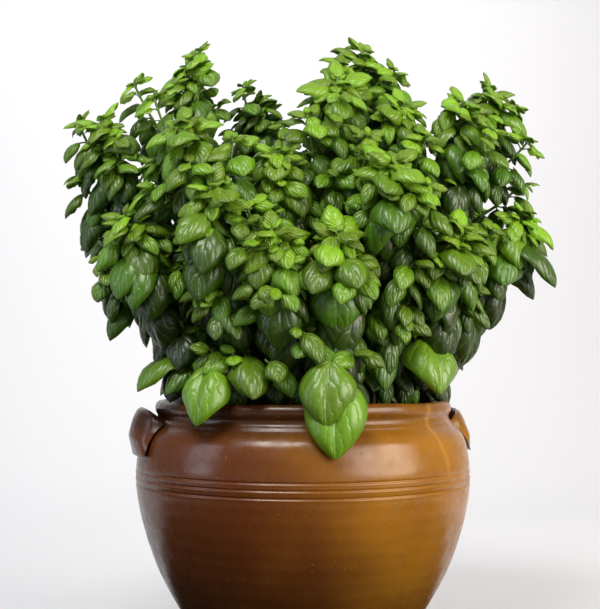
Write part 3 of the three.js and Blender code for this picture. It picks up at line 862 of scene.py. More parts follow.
def tube(bm, sides, points, radii, phase=0.0, square=0.0):
    """A closed tube along points. Square, 0 to 1, turns its round section into one with four ribs."""
    points = np.asarray(points, float)
    along = np.gradient(points, axis=0)
    along /= np.linalg.norm(along, axis=1)[:, None]
    first = np.array([cos(phase), sin(phase), 0.0])
    rights = first - along * (along @ first)[:, None]
    rights /= np.linalg.norm(rights, axis=1)[:, None]
    fronts = np.cross(along, rights)
    steps = len(points) - 1

    def place(u, v):
        i = round(v * steps)
        turn = 2 * pi * u
        radius = radii[i] * (1 - square * 0.5 * (1 - cos(4 * turn - pi)) * 0.5)
        return points[i] + rights[i] * cos(turn) * radius + fronts[i] * sin(turn) * radius

    grid(bm, sides, steps, place, closed=True)


def finished(bm, name, materials):
    """The smooth object that a bmesh in millimetres makes."""
    bmesh.ops.scale(bm, vec=(MM, MM, MM), verts=bm.verts)
    for face in bm.faces:
        face.smooth = True
    mesh = bpy.data.meshes.new(name)
    bm.to_mesh(mesh)
    bm.free()
    piece = bpy.data.objects.new(name, mesh)
    bpy.context.scene.collection.objects.link(piece)
    for material in materials:
        mesh.materials.append(material)
    return piece


def riding(piece, slot, *nodes):
    """Lets a piece ride on the root and stand for its nodes; slot is not used."""
    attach(piece, "root")
    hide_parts(*nodes)


# ---- mesh of a leaf ----
BASE_ROUND = 0.5  # the outline's powers at its round base and its pointed tip
TIP_POINT = 0.8
LEAST_WIDTH = 0.03  # of the outline, where it comes to its ends


def outline(rows):
    """The rows of a blade: shares of its length, closer together at its ends, and of its half width."""
    widest = BASE_ROUND / (BASE_ROUND + TIP_POINT)
    shares = (1 - np.cos(np.linspace(0, pi, rows + 1))) / 2
    widths = (shares / widest) ** BASE_ROUND * ((1 - shares) / (1 - widest)) ** TIP_POINT
    return list(zip(shares, np.maximum(widths, LEAST_WIDTH)))


# how many faces across a blade, and its rows
APRON_FROM = 57  # a blade longer than this gets the finest mesh
APRON_GRID = (12, outline(16))
GROWN_GRID = (8, outline(9))
YOUNG_GRID = (6, outline(6))

PILLOW = 0.17  # how far each half stands up between midrib and margin, as a share of the half width
PILLOW_REACH = 1.05  # it comes down again just inside the margin
YOUNG_CURL = radians(20)  # how far the margins roll down
OLD_CURL = radians(38)
CURL_STRAY = 0.35
WAVE = 0.07  # the height of a margin's waves, as a share of the half width
WAVES_ALONG = 1.6
WAVE_SHIFT = 1.7  # between the two margins, in radians
LEAST_WAVE = 0.6
TIP_DROOP = 0.07  # as a share of the length
TIP_TWIST = radians(16)


def add_blade(bm, leaf, layers):
    """A domed blade with its midrib sunk in, its margins rolled down and its tip turned aside."""
    columns, rows = APRON_GRID if leaf.length > APRON_FROM else YOUNG_GRID if leaf.small else GROWN_GRID
    shares = np.array([share for share, _ in rows])
    middle, side, up = leaf_frame(leaf, shares)
    curl = mix(YOUNG_CURL, OLD_CURL, leaf.age) * (1 + vary(leaf.seed + 0.71, CURL_STRAY))
    phase = 2 * pi * chance(leaf.seed + 0.72)
    twist = vary(leaf.seed + 0.73, TIP_TWIST)
    waves = WAVE * (LEAST_WAVE + chance(leaf.seed + 0.74))

    def place(u, v):
        i = round(v * (len(rows) - 1))
        across = 1 - 2 * u
        share, width = rows[i]
        half = leaf.half * width
        roll = curl * abs(across)
        turn = twist * share * share
        wave = sin(2 * pi * share * WAVES_ALONG + phase + (WAVE_SHIFT if across > 0 else 0))
        flat = across * cos(roll) * half
        rise = -abs(across) * sin(roll) * half
        rise += PILLOW * half * sin(pi * min(1.0, abs(across) * PILLOW_REACH))
        rise += waves * half * across * across * wave
        droop = TIP_DROOP * leaf.length * share**4
        moved_side = flat * cos(turn) - rise * sin(turn)
        moved_up = flat * sin(turn) + rise * cos(turn) - droop
        return middle[i] + side[i] * moved_side + up[i] * moved_up

    tone = chance(leaf.seed + 0.75)
    for vert in grid(bm, columns, len(rows) - 1, place):
        vert[layers["age"]] = leaf.age
        vert[layers["tone"]] = tone


PETIOLE_SIDES = 5
PETIOLE_RADIUS = 0.55
PETIOLE_STOUTER = 0.011  # how much is added to the radius for each millimetre of blade
PETIOLE_MIDDLE = 0.55
PETIOLE_ARCH = 0.06  # how far it arches up at its middle, as a share of its length
PETIOLE_END = 0.12  # how far up the blade it runs


def add_petiole(bm, leaf):
    """The stalk of a leaf, from inside the stem to the blade's underside."""
    blade, _, up = leaf_frame(leaf, (0, PETIOLE_END))
    radius = PETIOLE_RADIUS + PETIOLE_STOUTER * leaf.length
    bend = leaf.root + heading(leaf.turn) * leaf.petiole * PETIOLE_MIDDLE * cos(leaf.lift)
    bend = bend + UP * leaf.petiole * (PETIOLE_MIDDLE * sin(leaf.lift) + PETIOLE_ARCH)
    under = blade[0] - up[0] * radius * 0.5
    end = blade[1] - up[1] * radius * 0.3
    points = np.array([leaf.root, mix(leaf.root, bend, 0.9), under, end])
    tube(bm, PETIOLE_SIDES, points, (radius * 1.25, radius, radius, radius * 0.35))


STEM_STEPS = 22
STEM_SIDES = 12
STEM_SQUARE = 0.5
JOINT_SWELL = 0.22
JOINT_REACH = 5


def add_stem(bm, stem):
    """A four-ribbed stem that thickens a little at each pair of leaves."""
    shares = np.linspace(0, 1, STEM_STEPS)
    points = stem_points(stem.foot, stem.tip, shares)
    points = np.vstack([[*stem.foot, SOIL_TOP - ROOTED + 1], points])
    thick = np.concatenate([[STEM_FOOT], STEM_FOOT + (STEM_TIP - STEM_FOOT) * shares])
    roots = np.array([root for _, root, _ in stem.joints])
    near = np.linalg.norm(points[:, None] - roots, axis=2).min(1)
    thick = thick * (1 + JOINT_SWELL * np.exp(-((near / JOINT_REACH) ** 2)))
    tube(bm, STEM_SIDES, points, thick, phase=stem.phase + pi / 4, square=STEM_SQUARE)


BLADE_THICKNESS = 0.5
SHOOT_SIDES = 6
SHOOT_TAPER = (1.3, 0.8)
PLANT_MATRIX = Matrix.Rotation(PLANT_TURN, 3, "Z")


def leaf_piece(stem, leaves, materials, thickness):
    """The blades of a stem, as one sheet with two sides."""
    bm = bmesh.new()
    bm.loops.layers.uv.new("blade")
    layers = {key: bm.verts.layers.float.new(key) for key in ("age", "tone")}
    for leaf in leaves:
        add_blade(bm, leaf, layers)
    bmesh.ops.rotate(bm, verts=bm.verts, cent=(0, 0, 0), matrix=PLANT_MATRIX)
    piece = finished(bm, stem.name + "_leaves", materials)
    shell = piece.modifiers.new("shell", "SOLIDIFY")
    shell.thickness = thickness
    shell.offset = 0
    shell.material_offset = 1
    riding(piece, "basil_leaf", stem.name)


def stalk_piece(stem, leaves, shoots, material):
    """A stem with its side branches and leaf stalks."""
    bm = bmesh.new()
    bm.loops.layers.uv.new("stalk")
    add_stem(bm, stem)
    for leaf in leaves:
        add_petiole(bm, leaf)
    for shoot in shoots:
        thick, thin = (shoot.radius * share for share in SHOOT_TAPER)
        tube(bm, SHOOT_SIDES, shoot.points, np.linspace(thick, thin, len(shoot.points)))
    bmesh.ops.recalc_face_normals(bm, faces=bm.faces)
    bmesh.ops.rotate(bm, verts=bm.verts, cent=(0, 0, 0), matrix=PLANT_MATRIX)
    riding(finished(bm, stem.name + "_stalks", [material]), "basil_leaf", stem.name)


# ---- mesh of the pot ----
POT_SIDES = 144
CURVE_STEPS = 16


def belly_curve():
    """The belly's smooth outline through its named points, as radii and heights."""
    points = np.array(BELLY, float)
    ends = np.vstack([points[0], points, points[-1]])
    t = np.linspace(0, 1, CURVE_STEPS)[:, None]
    spans = []
    for p0, p1, p2, p3 in zip(ends, ends[1:], ends[2:], ends[3:]):
        v0, v1 = (p2 - p0) / 2, (p3 - p1) / 2
        cubed = 2 * p1 - 2 * p2 + v0 + v1
        squared = -3 * p1 + 3 * p2 - 2 * v0 - v1
        spans.append(cubed * t**3 + squared * t**2 + v0 * t + p1)
    return np.concatenate(spans)


BELLY_CURVE = belly_curve()


def belly_radius(height):
    """The radius of the pot's outside at a height."""
    return float(np.interp(height, BELLY_CURVE[:, 1], BELLY_CURVE[:, 0]))


# one turned line: height against its middle, and depth as a share
GROOVE = ((-3.2, 0), (-2, -0.42), (-1.1, -0.17), (-0.4, 0.92), (0.4, 1), (1.2, 0.17), (2.2, 0))
GROOVE_DEPTH = 0.8
GROOVE_REACH = 4.4  # the rings of the plain wall stay this far away from it
WALL_HEIGHTS = np.arange(11, 240, 5.5)
# the neck, crease and rolled lip, as radius and height, from the shoulder up and over to the inner wall
LIP = (
    (152.6, 240.6), (152.2, 242), (151.4, 243.4), (150.2, 244.6), (149.2, 246), (148.6, 248),
    (148.7, 250.2), (149.4, 251.8), (150.5, 253.2), (151.3, 255.4), (151.5, 258), (151, 260.8),
    (149.6, 263.2), (147.4, 264.7), (145, 265), (143.2, 264), (142.3, 261.8), (141.9, 257), (141.5, 250),
)
INSIDE_HEIGHTS = (243, 236, 227, 208, 189, 160, 130, 100, 70, 44, 24, 16)
FOOT = ((0, 0), (60, 0), (86, 0), (90.4, 0.5), (92.6, 2), (94.2, 5))
FLOOR_RADII = (74, 40, 0)


def pot_profile(groove_depth):
    """The pot's closed section, from the axis under its foot to the axis on its floor."""
    turned = [(z + beside, share * groove_depth) for z in GROOVE_HEIGHTS for beside, share in GROOVE]
    grooves = [(belly_radius(z) - depth, z) for z, depth in turned]
    plain = [z for z in WALL_HEIGHTS if all(abs(z - groove) > GROOVE_REACH for groove in GROOVE_HEIGHTS)]
    wall = sorted([(belly_radius(z), z) for z in plain] + grooves, key=lambda point: point[1])
    inside = [(belly_radius(z) - WALL, z) for z in INSIDE_HEIGHTS]
    return [*FOOT, *wall, *LIP, *inside, *((r, FLOOR) for r in FLOOR_RADII)]


def spun(bm, profile, sides):
    """Turns a profile of radii and heights round the Z axis."""
    verts = [bm.verts.new((r, 0, z)) for r, z in profile]
    edges = [bm.edges.new(pair) for pair in zip(verts, verts[1:])]
    bmesh.ops.spin(
        bm,
        geom=verts + edges,
        cent=(0, 0, 0),
        axis=(0, 0, 1),
        dvec=(0, 0, 0),
        angle=2 * pi,
        steps=sides,
        use_merge=True,
        use_duplicate=False,
    )
    bmesh.ops.remove_doubles(bm, verts=bm.verts, dist=SPUN_WELD)
    bmesh.ops.recalc_face_normals(bm, faces=bm.faces)


# each ear: its turn round the pot, how much taller it is, and how much higher one end stands
EARS = ((0, -1.5, 0.05), (pi, 2, -0.04))
EAR_SLICES = 28
EAR_STEPS = 20
EAR_OVERLAP = 1.04  # its ends run this much further into the wall than the part's
EAR_FOOT_THICKER = 0.9
EAR_CREST = 0.25  # the thickness left at the rounded crest


def add_ear(bm, turn, taller, lean):
    """A hand-formed ear: a curled band that runs into the shoulder at its foot and both ends."""
    line_radii = [r for r, _ in EAR_LINE]
    line_heights = np.array([z for _, z in EAR_LINE])
    line_shares = np.linspace(0, 1, len(EAR_LINE))

    def place(u, v):
        across = 2 * v - 1
        angle = turn + across * EAR_HALF_ANGLE * EAR_OVERLAP
        standing = sqrt(max(0.0, 1 - across * across))
        tall = EAR_END_HEIGHT + (1 - EAR_END_HEIGHT) * standing
        heights = EAR_FOOT + (line_heights - EAR_FOOT) * tall * (1 + lean * across)
        walls = [belly_radius(min(z, NECK_HEIGHT)) - EAR_SINK for z in heights]
        radii = [wall + (r - wall) * standing for wall, r in zip(walls, line_radii)]
        # round the section from the outer foot over the crest to the inner foot
        share = 1 - abs(2 * u - 1)
        z = float(np.interp(share, line_shares, heights))
        r = float(np.interp(share, line_shares, radii))
        crest = sqrt(max(0.0, 1 - share**6))
        half = EAR_HALF_THICKNESS * (1 + EAR_FOOT_THICKER * (1 - share) ** 2) * mix(EAR_CREST, 1, crest)
        r += half if u < 0.5 else -half
        return (r * cos(angle), r * sin(angle), z + taller * share)

    grid(bm, EAR_SLICES, EAR_STEPS, place, closed=True)


THROWN = 0.7  # how far the wall strays from round
THROWN_TALL = 90  # how tall such a stray is
THROWN_ROUND = 1.3  # how close together they are round the pot
FLAT_FOOT = 6  # the foot stays true up to this height
LIP_FROM = 244  # the lip strays in full this much over where it starts
LIP_TALL = 14
LIP_STRAY = 1.1  # how far the lip strays from level
LIP_ROUND = 2.2
LIP_LEVEL = 7  # of the noise, away from the wall's


def noise_round(turn, lumps, level):
    """Smooth noise that closes on itself round the pot."""
    return noise.noise(Vector((cos(turn) * lumps, sin(turn) * lumps, level)))


def pot_piece(material, groove_depth, thrown):
    """The pot, with its wall and lip a little out of true."""
    bm = bmesh.new()
    spun(bm, pot_profile(groove_depth), POT_SIDES)
    for vert in bm.verts:
        x, y, z = vert.co
        if hypot(x, y) < 1 or z < FLAT_FOOT:
            continue
        turn = atan2(y, x)
        stray = noise_round(turn, THROWN_ROUND, z / THROWN_TALL) * thrown
        vert.co.x += stray * cos(turn)
        vert.co.y += stray * sin(turn)
        if z > LIP_FROM:
            share = min(1.0, (z - LIP_FROM) / LIP_TALL)
            vert.co.z += share * LIP_STRAY * (noise_round(turn, LIP_ROUND, LIP_LEVEL) - 0.5)
    for turn, taller, lean in EARS:
        add_ear(bm, turn, taller, lean)
    bmesh.ops.recalc_face_normals(bm, faces=bm.faces)
    piece = finished(bm, "stoneware_pot", [material])
    fine = piece.modifiers.new("fine", "SUBSURF")
    fine.levels = fine.render_levels = 1
    riding(piece, "glazed_stoneware", "pot")


# ---- mesh of the soil ----
SOIL_SIDES = 96
SOIL_SIDE_HEIGHTS = (30, 70, 130, 189, 232)
SOIL_BOTTOM = 70
SOIL_RADIUS = 140
SOIL_RINGS = 30
SOIL_GAP = 0.8  # to the pot's wall
SOIL_LUMPS = 3.2
SOIL_LUMPS_FROM = 236
SOIL_LUMP_SIZE = 11


def soil_piece(material, lumps):
    """The filling of soil, from the pot's floor to its domed and lumpy top."""
    bm = bmesh.new()
    side = [(belly_radius(z) - WALL - SOIL_GAP, z) for z in SOIL_SIDE_HEIGHTS]
    radii = np.linspace(SOIL_RADIUS - 2, 4, SOIL_RINGS)
    top = [(r, SOIL_TOP - 1 + SOIL_CROWN * (1 - (r / SOIL_RADIUS) ** 2)) for r in radii]
    bottom = [(0, FLOOR + 1), (SOIL_BOTTOM, FLOOR + 1)]
    spun(bm, [*bottom, *side, *top, (0, SOIL_TOP + SOIL_CROWN - 1)], SOIL_SIDES)
    for vert in bm.verts:
        if vert.co.z > SOIL_LUMPS_FROM:
            place = Vector((vert.co.x, vert.co.y, 0)) / SOIL_LUMP_SIZE
            vert.co.z += lumps * (noise.fractal(place, 1, 2, 3) - 0.2)
    riding(finished(bm, "loose_potting_soil", [material]), "potting_soil", "potting_soil")


# ---- materials ----
def linear(colour):
    """A colour given as sRGB hex, in linear light with alpha."""
    parts = [int(colour[i : i + 2], 16) / 255 for i in (1, 3, 5)]
    return (*[p / 12.92 if p <= 0.04045 else ((p + 0.055) / 1.055) ** 2.4 for p in parts], 1.0)


def add_node(tree, kind, inputs, output=0, **settings):
    """Adds a node with its settings, links or sets its inputs, and returns one of its outputs."""
    node = tree.nodes.new("ShaderNode" + kind)
    for key, value in settings.items():
        setattr(node, key, value)
    for key, value in inputs.items():
        if isinstance(value, bpy.types.NodeSocket):
            tree.links.new(value, node.inputs[key])
        else:
            node.inputs[key].default_value = value
    return node.outputs[output]


MIX = {"kind": "Mix", "output": 2, "data_type": "RGBA"}  # its inputs: 0 the share, 6 and 7 the two colours
RANGE = {"kind": "MapRange", "interpolation_type": "SMOOTHSTEP"}  # its inputs: 0 value, 1-2 from, 3-4 to
WAVE_PERIOD = 2 * pi / 20  # of a wave texture of scale 1, in metres


def per_metre(size):
    """How many features of a size in millimetres lie in a metre, which is a texture's scale."""
    return 1 / (size * MM)


def new_material(name, sockets):
    """A material, its tree and its shader, with the shader's constant sockets set."""
    material = bpy.data.materials.new(name)
    material.use_nodes = True
    shader = material.node_tree.nodes["Principled BSDF"]
    for key, value in sockets.items():
        shader.inputs[key].default_value = value
    return material, material.node_tree, shader


UPPER_SHINE = (0.35, 0.72)  # roughness and specular level
UNDER_SHINE = (0.5, 0.5)
# how light sinks a little way into the tissue, and comes out yellow-green
HERB_GLOW = {"Subsurface Weight": 0.08, "Subsurface Radius": (0.35, 1.0, 0.12), "Subsurface Scale": 2 * MM}
VEIN_GREEN = "#86a83c"
UNDERSIDE_GREEN = "#93b46a"
UNDERSIDE_SHARE = 0.35
TONES = (0.6, 1.2)  # of the darkest and the lightest leaf
HUES = (0.487, 0.499)  # of the same two; 0.5 is no change
SIDE_VEINS = 4.6  # along each half of a blade
VEIN_SWEEP = 0.52  # how far a side vein runs towards the tip, as a share of the length
VEIN_CURVE = 1.25
VEIN_STRAY = 0.9  # how far the noise moves a side vein, in spaces between them
STRAY_SIZE = 9  # of that noise, in millimetres
VEIN_SHIFT = 0.35  # between the two halves, in spaces
VEIN_TINT = 0.16
QUILT = 0.65  # how high the tissue stands between the veins, in millimetres
QUILT_ROUND = 0.6
CRINKLE = 2.4  # the size of the small wrinkles, in millimetres
CRINKLE_SHARE = 0.35  # of their height in the quilt's


def blade_material(name, underside, colours):
    """Living basil blade: a thin waxy skin over quilted tissue. The skin gives the upper side a satin gloss.
    The underside is paler and duller, and its veins stand out."""
    roughness, gloss = UNDER_SHINE if underside else UPPER_SHINE
    sockets = {"Roughness": roughness, "Specular IOR Level": gloss, **HERB_GLOW}
    material, tree, shader = new_material(name, sockets)
    uv = add_node(tree, "UVMap", {}, uv_map="blade")
    u = add_node(tree, "SeparateXYZ", {0: uv})
    v = add_node(tree, "SeparateXYZ", {0: uv}, 1)
    age = add_node(tree, "Attribute", {}, "Fac", attribute_name="age")
    tone = add_node(tree, "Attribute", {}, "Fac", attribute_name="tone")
    position = add_node(tree, "TexCoord", {}, "Object")
    crinkle = add_node(tree, "TexNoise", {"Vector": position, "Scale": per_metre(CRINKLE), "Detail": 3.0})
    stray = add_node(tree, "TexNoise", {"Vector": position, "Scale": per_metre(STRAY_SIZE), "Detail": 1.0})

    # the side veins: where a count along the blade, swept towards its tip, passes a whole number
    signed = add_node(tree, "Math", {0: u, 1: 2.0, 2: -1.0}, operation="MULTIPLY_ADD")
    across = add_node(tree, "Math", {0: signed}, operation="ABSOLUTE")
    curved = add_node(tree, "Math", {0: across, 1: VEIN_CURVE}, operation="POWER")
    along = add_node(tree, "Math", {0: curved, 1: -VEIN_SWEEP, 2: v}, operation="MULTIPLY_ADD")
    one_side = add_node(tree, "Math", {0: u, 1: 0.5}, operation="GREATER_THAN")
    shifted = add_node(tree, "Math", {0: one_side, 1: VEIN_SHIFT}, operation="MULTIPLY")
    strayed = add_node(tree, "Math", {0: stray, 1: VEIN_STRAY, 2: shifted}, operation="MULTIPLY_ADD")
    count = add_node(tree, "Math", {0: along, 1: SIDE_VEINS, 2: strayed}, operation="MULTIPLY_ADD")
    turn = add_node(tree, "Math", {0: count, 1: pi}, operation="MULTIPLY")
    sine = add_node(tree, "Math", {0: turn}, operation="SINE")
    wave = add_node(tree, "Math", {0: sine}, operation="ABSOLUTE")
    bulge = add_node(tree, "Math", {0: wave, 1: QUILT_ROUND}, operation="POWER")
    off_midrib = add_node(tree, inputs={0: across, 1: 0.0, 2: 0.1}, **RANGE)
    off_margin = add_node(tree, inputs={0: across, 1: 1.0, 2: 0.7}, **RANGE)
    inner = add_node(tree, "Math", {0: bulge, 1: off_midrib}, operation="MULTIPLY")
    quilt = add_node(tree, "Math", {0: inner, 1: off_margin}, operation="MULTIPLY")
    height = add_node(tree, "Math", {0: crinkle, 1: CRINKLE_SHARE, 2: quilt}, operation="MULTIPLY_ADD")
    depth = (-QUILT if underside else QUILT) * MM
    bump = add_node(tree, "Bump", {"Strength": 1.0, "Distance": depth, "Height": height})

    # the colour goes from young to grown to old with age, each leaf has a tone, and the veins are paler
    to_grown = add_node(tree, inputs={0: age, 1: 0.0, 2: 0.55}, **RANGE)
    grown = add_node(tree, inputs={0: to_grown, 6: colours[0], 7: colours[1]}, **MIX)
    to_old = add_node(tree, inputs={0: age, 1: 0.4, 2: 0.9}, **RANGE)
    aged = add_node(tree, inputs={0: to_old, 6: grown, 7: colours[2]}, **MIX)
    hue = add_node(tree, inputs={0: tone, 3: HUES[0], 4: HUES[1]}, **RANGE)
    value = add_node(tree, inputs={0: tone, 3: TONES[0], 4: TONES[1]}, **RANGE)
    toned = add_node(tree, "HueSaturation", {"Hue": hue, "Value": value, "Color": aged})
    on_vein = add_node(tree, "Math", {0: wave, 1: off_midrib}, operation="MULTIPLY")
    vein = add_node(tree, inputs={0: on_vein, 1: 0.35, 2: 0.0, 3: 0.0, 4: VEIN_TINT}, **RANGE)
    veined = add_node(tree, inputs={0: vein, 6: toned, 7: linear(VEIN_GREEN)}, **MIX)
    if underside:
        veined = add_node(tree, inputs={0: UNDERSIDE_SHARE, 6: veined, 7: linear(UNDERSIDE_GREEN)}, **MIX)
    tree.links.new(veined, shader.inputs["Base Color"])
    tree.links.new(bump, shader.inputs["Normal"])
    return material


FIBRE_WIDTH = 1.1  # millimetres
FIBRE_LENGTH = 16
BROWN_BELOW = (0.34, 0.24)  # the heights between which stems turn brown, in metres


def stalk_material():
    """Young basil stem and leaf stalk: smooth pale green herb tissue with fine fibres, which browns towards
    the soil."""
    sockets = {"Roughness": 0.42, "Subsurface Weight": 0.08, "Subsurface Scale": 2 * MM}
    material, tree, shader = new_material("green_herb_stem", sockets)
    position = add_node(tree, "TexCoord", {}, "Object")
    height = add_node(tree, "SeparateXYZ", {0: position}, 2)
    scale = (per_metre(FIBRE_WIDTH), per_metre(FIBRE_WIDTH), per_metre(FIBRE_LENGTH))
    fibres = add_node(tree, "Mapping", {"Vector": position, "Scale": scale})
    grain = add_node(tree, "TexNoise", {"Vector": fibres, "Scale": 1.0, "Detail": 2.0})
    green = add_node(tree, inputs={0: grain, 6: linear("#4c7024"), 7: linear("#7d9f48")}, **MIX)
    low = add_node(tree, inputs={0: height, 1: BROWN_BELOW[0], 2: BROWN_BELOW[1]}, **RANGE)
    colour = add_node(tree, inputs={0: low, 6: green, 7: linear("#5b4c2c")}, **MIX)
    bump = add_node(tree, "Bump", {"Strength": 0.4, "Distance": 0.4 * MM, "Height": grain})
    tree.links.new(colour, shader.inputs["Base Color"])
    tree.links.new(bump, shader.inputs["Normal"])
    return material


# the sizes of the glaze's features, in millimetres
CLOUDS = 110
MOTTLES = 14
IRON_SPECKS = 6  # one in a cell of this size, at most
PINHOLES = 5
THROWING_RINGS = 14
# its colours, besides the two that a user may change
# painted shade towards the foot
PAINTED_SHADE_LOW = "#3a2110"
# painted shade under the lip
PAINTED_SHADE_NECK = "#372010"
MOTTLE_BROWN = "#4c2812"
IRON_BROWN = "#2e170c"
BARE_CLAY = "#c98a4a"
RUN_GOLD = "#d39a3e"
RUN_TURN = radians(-52)  # where the run of glaze is, round the pot from the X axis
RUN_ACROSS = (-sin(RUN_TURN), cos(RUN_TURN), 0)


def glaze_material(brown, ochre):
    """Wood-ash glaze over thrown stoneware: a thin glassy coat over warm brown clay, with painted shade
    towards the foot and under the lip, an ochre side that is partly painted light, iron specks, pinholes and
    faint throwing rings."""
    material, tree, shader = new_material("ash_glazed_stoneware", {"IOR": 1.5})
    position = add_node(tree, "TexCoord", {}, "Object")
    x = add_node(tree, "SeparateXYZ", {0: position})
    z = add_node(tree, "SeparateXYZ", {0: position}, 2)
    cloud = add_node(tree, "TexNoise", {"Vector": position, "Scale": per_metre(CLOUDS), "Detail": 4.0})
    mottle = add_node(tree, "TexNoise", {"Vector": position, "Scale": per_metre(MOTTLES), "Detail": 6.0})
    rare = add_node(tree, "TexNoise", {"Vector": position, "Scale": per_metre(MOTTLES)})

    # the ash settled on the side towards +X; the ochre there is also painted light, since that side faces the
    # softbox, and the brown side away from it is partly painted shade
    clouded = add_node(tree, "Math", {0: cloud, 1: 0.28}, operation="MULTIPLY")
    ash_and_lit_x = add_node(tree, "Math", {0: x, 1: clouded}, operation="ADD")
    side = add_node(tree, inputs={0: ash_and_lit_x, 1: 0.03, 2: 0.28}, **RANGE)
    sides = add_node(tree, inputs={0: side, 6: brown, 7: ochre}, **MIX)

    # painted shade: darker towards the foot, where little light reaches from below, and under the lip on the
    # brown side, which faces away from the softbox
    ran = add_node(tree, "Math", {0: cloud, 1: 0.1, 2: z}, operation="MULTIPLY_ADD")
    low = add_node(tree, inputs={0: ran, 1: 0.22, 2: 0.09, 3: 0.0, 4: 0.7}, **RANGE)
    darker = add_node(tree, inputs={0: low, 6: sides, 7: linear(PAINTED_SHADE_LOW)}, **MIX)
    # painted shade under the lip, mostly on the brown side, which faces away from the softbox
    high = add_node(tree, inputs={0: z, 1: 0.226, 2: 0.246, 3: 0.0, 4: 0.75}, **RANGE)
    brown_shaded_side = add_node(tree, inputs={0: side, 1: 0.6, 2: 0.1, 3: 0.4, 4: 1.0}, **RANGE)
    thick = add_node(tree, "Math", {0: high, 1: brown_shaded_side}, operation="MULTIPLY")
    neck_shaded = add_node(tree, inputs={0: thick, 6: darker, 7: linear(PAINTED_SHADE_NECK)}, **MIX)

    # darker mottles, iron specks, and pinholes that show the clay
    patches = add_node(tree, inputs={0: mottle, 1: 0.48, 2: 0.72, 3: 0.0, 4: 0.16}, **RANGE)
    mottled = add_node(tree, inputs={0: patches, 6: neck_shaded, 7: linear(MOTTLE_BROWN)}, **MIX)
    cells = add_node(tree, "TexVoronoi", {"Vector": position, "Scale": per_metre(IRON_SPECKS)})
    near_cell = add_node(tree, inputs={0: cells, 1: 0.15, 2: 0.07}, **RANGE)
    some = add_node(tree, inputs={0: rare, 1: 0.5, 2: 0.6, 3: 0.0, 4: 0.7}, **RANGE)
    iron = add_node(tree, "Math", {0: near_cell, 1: some}, operation="MULTIPLY")
    specked = add_node(tree, inputs={0: iron, 6: mottled, 7: linear(IRON_BROWN)}, **MIX)
    holes = add_node(tree, "TexVoronoi", {"Vector": position, "Scale": per_metre(PINHOLES)})
    near_hole = add_node(tree, inputs={0: holes, 1: 0.16, 2: 0.08}, **RANGE)
    few = add_node(tree, inputs={0: rare, 1: 0.5, 2: 0.4, 3: 0.0, 4: 0.5}, **RANGE)
    pinholes = add_node(tree, "Math", {0: near_hole, 1: few}, operation="MULTIPLY")
    pricked = add_node(tree, inputs={0: pinholes, 6: specked, 7: linear(BARE_CLAY)}, **MIX)

    # one run of thicker ash glaze down the shoulder
    beside = add_node(tree, "VectorMath", {0: position, 1: RUN_ACROSS}, "Value", operation="DOT_PRODUCT")
    wandering = add_node(tree, "Math", {0: cloud, 1: 0.06, 2: beside}, operation="MULTIPLY_ADD")
    off_run = add_node(tree, "Math", {0: wandering, 1: 0.03}, operation="SUBTRACT")
    from_run = add_node(tree, "Math", {0: off_run}, operation="ABSOLUTE")
    near_run = add_node(tree, inputs={0: from_run, 1: 5 * MM, 2: 1 * MM, 3: 0.0, 4: 0.35}, **RANGE)
    same_side = add_node(tree, "Math", {0: x, 1: 0.06}, operation="GREATER_THAN")
    run_down = add_node(tree, inputs={0: z, 1: 0.19, 2: 0.21}, **RANGE)
    run_share = add_node(tree, "Math", {0: near_run, 1: same_side}, operation="MULTIPLY")
    run = add_node(tree, "Math", {0: run_share, 1: run_down}, operation="MULTIPLY")
    glazed = add_node(tree, inputs={0: run, 6: pricked, 7: linear(RUN_GOLD)}, **MIX)

    # the bump: throwing rings, mottles and sunk specks
    ring_scale = WAVE_PERIOD * per_metre(THROWING_RINGS)
    ring_inputs = {"Vector": position, "Scale": ring_scale, "Distortion": 1.2, "Detail": 1.0}
    rings = add_node(tree, "TexWave", ring_inputs, "Fac", bands_direction="Z")
    rough = add_node(tree, inputs={0: mottle, 1: 0.3, 2: 0.7, 3: 0.2, 4: 0.34}, **RANGE)
    ringed = add_node(tree, "Math", {0: rings, 1: 0.5, 2: mottle}, operation="MULTIPLY_ADD")
    pitted = add_node(tree, "Math", {0: iron, 1: -0.8, 2: ringed}, operation="MULTIPLY_ADD")
    bump = add_node(tree, "Bump", {"Strength": 0.5, "Distance": 0.6 * MM, "Height": pitted})
    tree.links.new(glazed, shader.inputs["Base Color"])
    tree.links.new(rough, shader.inputs["Roughness"])
    tree.links.new(bump, shader.inputs["Normal"])
    return material


CRUMBS = 4  # millimetres
PERLITE_CELLS = 8


def soil_material():
    """Damp peat potting mix: dull dark crumbs with a few pale grains of perlite."""
    material, tree, shader = new_material("damp_potting_mix", {"Roughness": 0.95})
    position = add_node(tree, "TexCoord", {}, "Object")
    crumbs = add_node(tree, "TexNoise", {"Vector": position, "Scale": per_metre(CRUMBS), "Detail": 6.0})
    light = add_node(tree, inputs={0: crumbs, 1: 0.35, 2: 0.65}, **RANGE)
    peat = add_node(tree, inputs={0: light, 6: linear("#1c120b"), 7: linear("#47301f")}, **MIX)
    cells = add_node(tree, "TexVoronoi", {"Vector": position, "Scale": per_metre(PERLITE_CELLS)})
    grains = add_node(tree, inputs={0: cells, 1: 0.14, 2: 0.1}, **RANGE)
    colour = add_node(tree, inputs={0: grains, 6: peat, 7: linear("#cfc8b8")}, **MIX)
    bump = add_node(tree, "Bump", {"Strength": 1.0, "Distance": 3 * MM, "Height": crumbs})
    tree.links.new(colour, shader.inputs["Base Color"])
    tree.links.new(bump, shader.inputs["Normal"])
    return material


def stage_material(name, colour):
    """Matt studio paper or felt."""
    sockets = {"Base Color": linear(colour), "Roughness": 1.0, "Specular IOR Level": 0.1}
    return new_material(name, sockets)[0]


